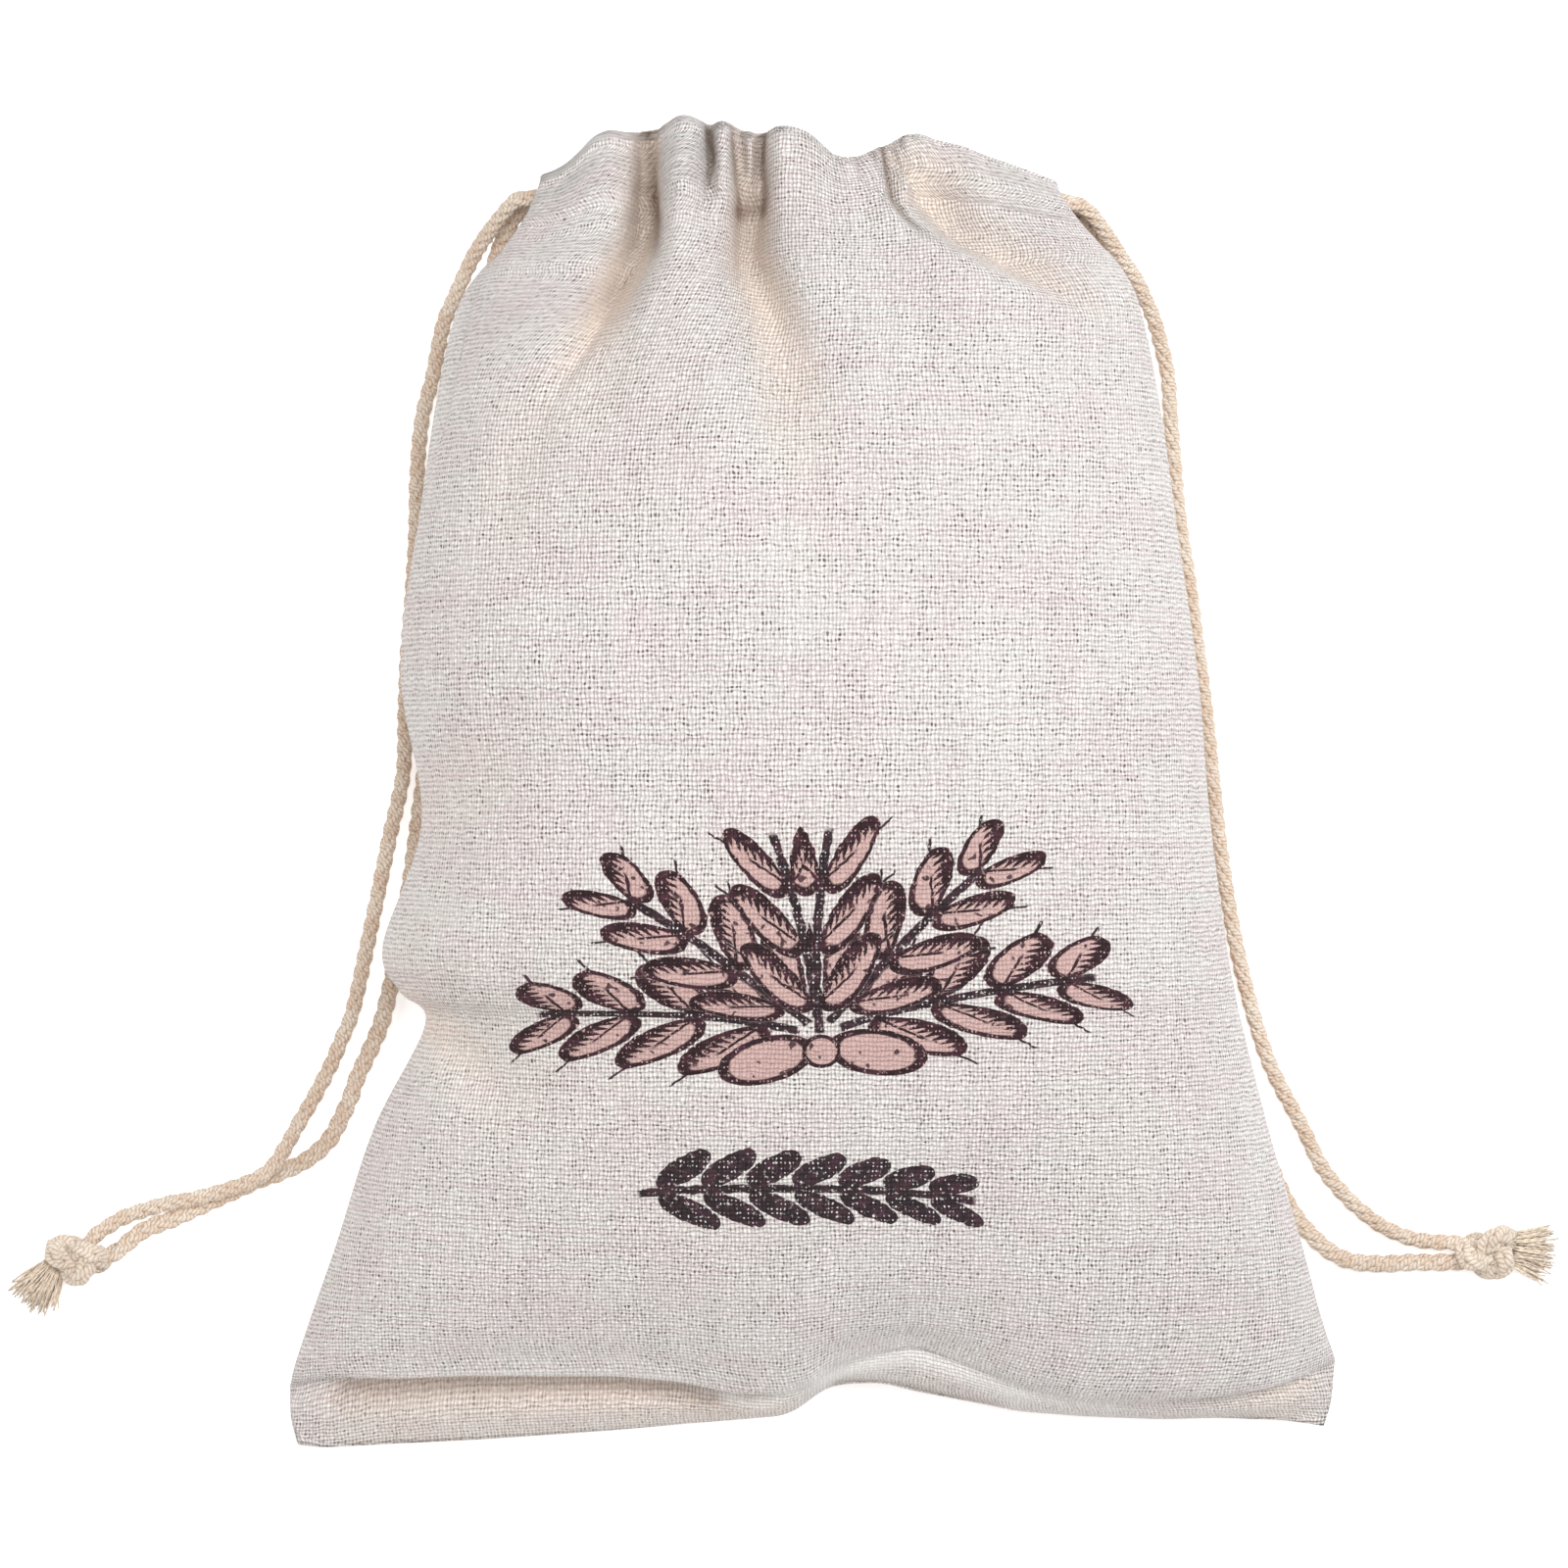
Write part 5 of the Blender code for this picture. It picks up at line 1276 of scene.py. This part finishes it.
class BreadBagCloth(bpy.types.PropertyGroup):
    """Sizes and colours of the linen and its print."""
    cloth_thickness: length("Cloth thickness", 0.0006, 0.0002, 0.0015,
                            "Thickness of the linen")
    cloth_pitch: length("Row spacing", 0.0022, 0.0010, 0.0060, "Spacing of the cloth's rows")
    front_columns: count("Front columns", 212, 20, 220, "Faces across the front panel")
    back_columns: count("Back columns", 130, 20, 220, "Faces across the back panel")
    cuff: length("Casing opening", 0.0050, 0.0, 0.0080,
                 "Height of a casing's open end, where the cord comes out")
    thread_across: length("Warp spacing", 0.00110, 0.0002, 0.0030,
                          "Distance between the threads that run up the bag")
    thread_along: length("Weft spacing", 0.00141, 0.0002, 0.0030,
                         "Distance between the threads that run across the bag")
    linen_colour: tint("Linen", (0.742, 0.698, 0.664), "Main colour of the linen")
    linen_blush: tint("Linen, second tone", (0.733, 0.642, 0.628),
                      "Faintly pinker tone that clouds the linen")
    linen_warm: tint("Linen, warm tone", (0.722, 0.645, 0.588), "Warmer tone in broad patches")
    slub_colour: tint("Thick threads", (0.690, 0.575, 0.575),
                      "Pinkish colour of the thicker stretches of weft")
    # painted warm shade deep in the folds, standing in for light bounced inside them
    fold_shade_colour: tint("Folds", (0.840, 0.695, 0.590), "Warm colour of the linen deep in folds")
    # painted highlight on the smooth lips of cloth
    lip_highlight_colour: tint("Lips", (0.960, 0.920, 0.880), "Pale colour of the smooth lips of cloth")
    # painted shadow where the cloth closes on itself
    slit_shade_colour: tint("Slits", (0.200, 0.110, 0.060), "Colour where the cloth closes on itself")
    # painted shade seen through the gaps between threads
    gap_shade_colour: tint("Between threads", (0.120, 0.085, 0.070),
                     "Colour seen between the threads")
    # painted glint of light on the highest thread tops
    glint_highlight_colour: tint("Raised threads", (1.000, 0.985, 0.960),
                       "Pale colour of the threads where they stand highest")
    ink_colour: tint("Ink", (0.020, 0.009, 0.013), "Dark ink of the print")
    ink_thin: tint("Thin ink", (0.060, 0.022, 0.034), "Ink where it lies thinner")
    fill_colour: tint("Filling", (0.600, 0.365, 0.335), "Dusty colour inside the print")


class BreadBagCord(bpy.types.PropertyGroup):
    """Sizes and colours of the drawcords, their knots and their ends."""
    braid_pitch: length("Braid pitch", 0.0190, 0.0050, 0.0600,
                        "Length in which a yarn goes once round the cord")
    cord_step: length("Cord step", 0.00100, 0.0005, 0.0050, "Spacing of rings along a yarn")
    cord_colour: tint("Cord", (0.790, 0.630, 0.500), "Main colour of the cotton cord")
    cord_light: tint("Cord, light", (0.870, 0.760, 0.640), "Lighter clouds of the cord")
    # painted shade in the grooves between the twisted fibres
    cord_shade: tint("Cord, sunk", (0.420, 0.235, 0.125), "Colour between fibres")
    knot_colour: tint("Knot", (0.740, 0.630, 0.520), "Main colour of the tightened knots")
    fray_colour: tint("Frayed end", (1.000, 0.850, 0.690), "Colour of the loose fibres")
    # painted shade between the loose fibres, laid where they sink in
    fray_shade: tint("Frayed end, root", (0.900, 0.620, 0.400),
                    "Deeper colour where the fibres start")
    hairs: count("Fibres", 110, 20, 300, "Locks of fibre in each frayed end")


class BREADBAG_OT_stage(bpy.types.Operator):
    """Make the pale floor, the soft lights and the camera"""
    bl_idname = "breadbag.stage"
    bl_label = "Stage"

    def execute(self, context):
        scene = context.scene
        bm = bmesh.new()
        bmesh.ops.create_grid(bm, x_segments=1, y_segments=1, size=FLOOR_SIZE)
        mesh = bpy.data.meshes.new("floor")
        bm.to_mesh(mesh)
        bm.free()
        finish = Nodes("floor")
        finish.dress({"Base Color": FLOOR_COLOUR, "Roughness": 0.9, "Emission Color": WHITE,
                      "Emission Strength": FLOOR_GLOW})
        mesh.materials.append(finish.material)
        floor = bpy.data.objects.new("floor", mesh)
        floor.location.z = FLOOR_LEVEL
        scene.collection.objects.link(floor)

        world = bpy.data.worlds.new("studio")
        world.use_nodes = True
        ground = world.node_tree.nodes["Background"]
        ground.inputs["Color"].default_value = (*WHITE, 1.0)
        ground.inputs["Strength"].default_value = WORLD_LIGHT
        scene.world = world
        for lamp in LAMPS:
            add_area(*lamp)

        camera = bpy.data.cameras.new("camera")
        camera.sensor_width = CAMERA_SENSOR
        camera.lens = CAMERA_LENS
        camera.clip_start, camera.clip_end = CAMERA_CLIP
        view = bpy.data.objects.new("camera", camera)
        view.location = CAMERA_PLACE
        scene.collection.objects.link(view)
        scene.camera = view
        scene.view_settings.view_transform = "Standard"
        return {"FINISHED"}


class BREADBAG_OT_knots(bpy.types.Operator):
    """Tie a knot at the end of each side's cords"""
    bl_idname = "breadbag.knots"
    bl_label = "Knots"

    def execute(self, context):
        sizes = context.scene.bread_bag_cord
        finish = yarn_material("knot_yarn", sizes.knot_colour, sizes.cord_shade,
                               sizes.cord_light)
        for name, x, y, turned, long, wide, tube, wind in KNOTS:
            points, lengths = knot_line(x, y, turned, long, wide, tube, wind)
            tubes = braid_tubes(points, lengths, tube, sizes.braid_pitch, KNOT_YARN_SIDES)
            add_piece("tied_" + name, join_tubes(name, tubes), finish, name)
        return {"FINISHED"}


class BREADBAG_OT_frayed_ends(bpy.types.Operator):
    """Open the cut end past each knot into fibres"""
    bl_idname = "breadbag.frayed_ends"
    bl_label = "Frayed ends"

    def execute(self, context):
        sizes = context.scene.bread_bag_cord
        finish = yarn_material("loose_fibre", sizes.fray_colour, sizes.fray_shade,
                               sizes.fray_colour, FIBRE_TWIST)
        for name, *shape in FRAYS:
            mesh = join_tubes(name, fray_tubes(sizes.hairs, *shape))
            add_piece("loose_" + name, mesh, finish, name)
        return {"FINISHED"}


class BREADBAG_OT_cords(bpy.types.Operator):
    """Braid the four strands of cord that lie beside the bag"""
    bl_idname = "breadbag.cords"
    bl_label = "Drawcords"

    def execute(self, context):
        sizes = context.scene.bread_bag_cord
        finish = yarn_material("cord_yarn", sizes.cord_colour, sizes.cord_shade,
                               sizes.cord_light)
        for name, route, radius, hidden, tied, ends in STRANDS:
            line = (hidden, *whole_route(route, radius), tied)
            points, lengths = along_curve(line, sizes.cord_step)
            points[:, 2] = np.maximum(points[:, 2], radius + CORD_LIFT)
            tubes = braid_tubes(points, lengths, radius, sizes.braid_pitch)
            cord = add_piece("braided_" + name, join_tubes(name, tubes), finish,
                             name)
        return {"FINISHED"}


class BREADBAG_OT_front(bpy.types.Operator):
    """Lay the printed front panel in its folds"""
    bl_idname = "breadbag.front"
    bl_label = "Front panel"

    def execute(self, context):
        sizes = context.scene.bread_bag_cloth
        item = add_sheet("front", sizes.front_columns, sizes, PRINT_PLACES)
        return {"FINISHED"}


class BREADBAG_OT_back(bpy.types.Operator):
    """Lay the plain back panel on the table"""
    bl_idname = "breadbag.back"
    bl_label = "Back panel"

    def execute(self, context):
        sizes = context.scene.bread_bag_cloth
        item = add_sheet("back", sizes.back_columns, sizes, {})
        return {"FINISHED"}


class BREADBAG_PT_panel(bpy.types.Panel):
    """Sizes, colours and steps of the linen bread bag"""
    bl_idname = "BREADBAG_PT_panel"
    bl_label = "Bread Bag"
    bl_space_type = "VIEW_3D"
    bl_region_type = "UI"
    bl_category = "Bread Bag"

    def draw(self, context):
        layout = self.layout
        for group in (context.scene.bread_bag_cloth, context.scene.bread_bag_cord):
            box = layout.box()
            for name in group.__annotations__:
                box.prop(group, name)
        for step in STEPS:
            layout.operator(step.bl_idname)


STEPS = (BREADBAG_OT_stage, BREADBAG_OT_knots, BREADBAG_OT_frayed_ends, BREADBAG_OT_cords,
         BREADBAG_OT_back, BREADBAG_OT_front)
CLASSES = (BreadBagCloth, BreadBagCord, *STEPS, BREADBAG_PT_panel)


def register():
    for item in CLASSES:
        bpy.utils.register_class(item)
    bpy.types.Scene.bread_bag_cloth = bpy.props.PointerProperty(type=BreadBagCloth)
    bpy.types.Scene.bread_bag_cord = bpy.props.PointerProperty(type=BreadBagCord)


def unregister():
    del bpy.types.Scene.bread_bag_cord
    del bpy.types.Scene.bread_bag_cloth
    for item in reversed(CLASSES):
        bpy.utils.unregister_class(item)


def main():
    register()
    bpy.ops.breadbag.stage()
    bpy.ops.breadbag.knots()
    bpy.ops.breadbag.frayed_ends()
    bpy.ops.breadbag.cords()
    bpy.ops.breadbag.back()
    bpy.ops.breadbag.front()
    bpy.context.view_layer.update()


if __name__ == "__main__":
    main()
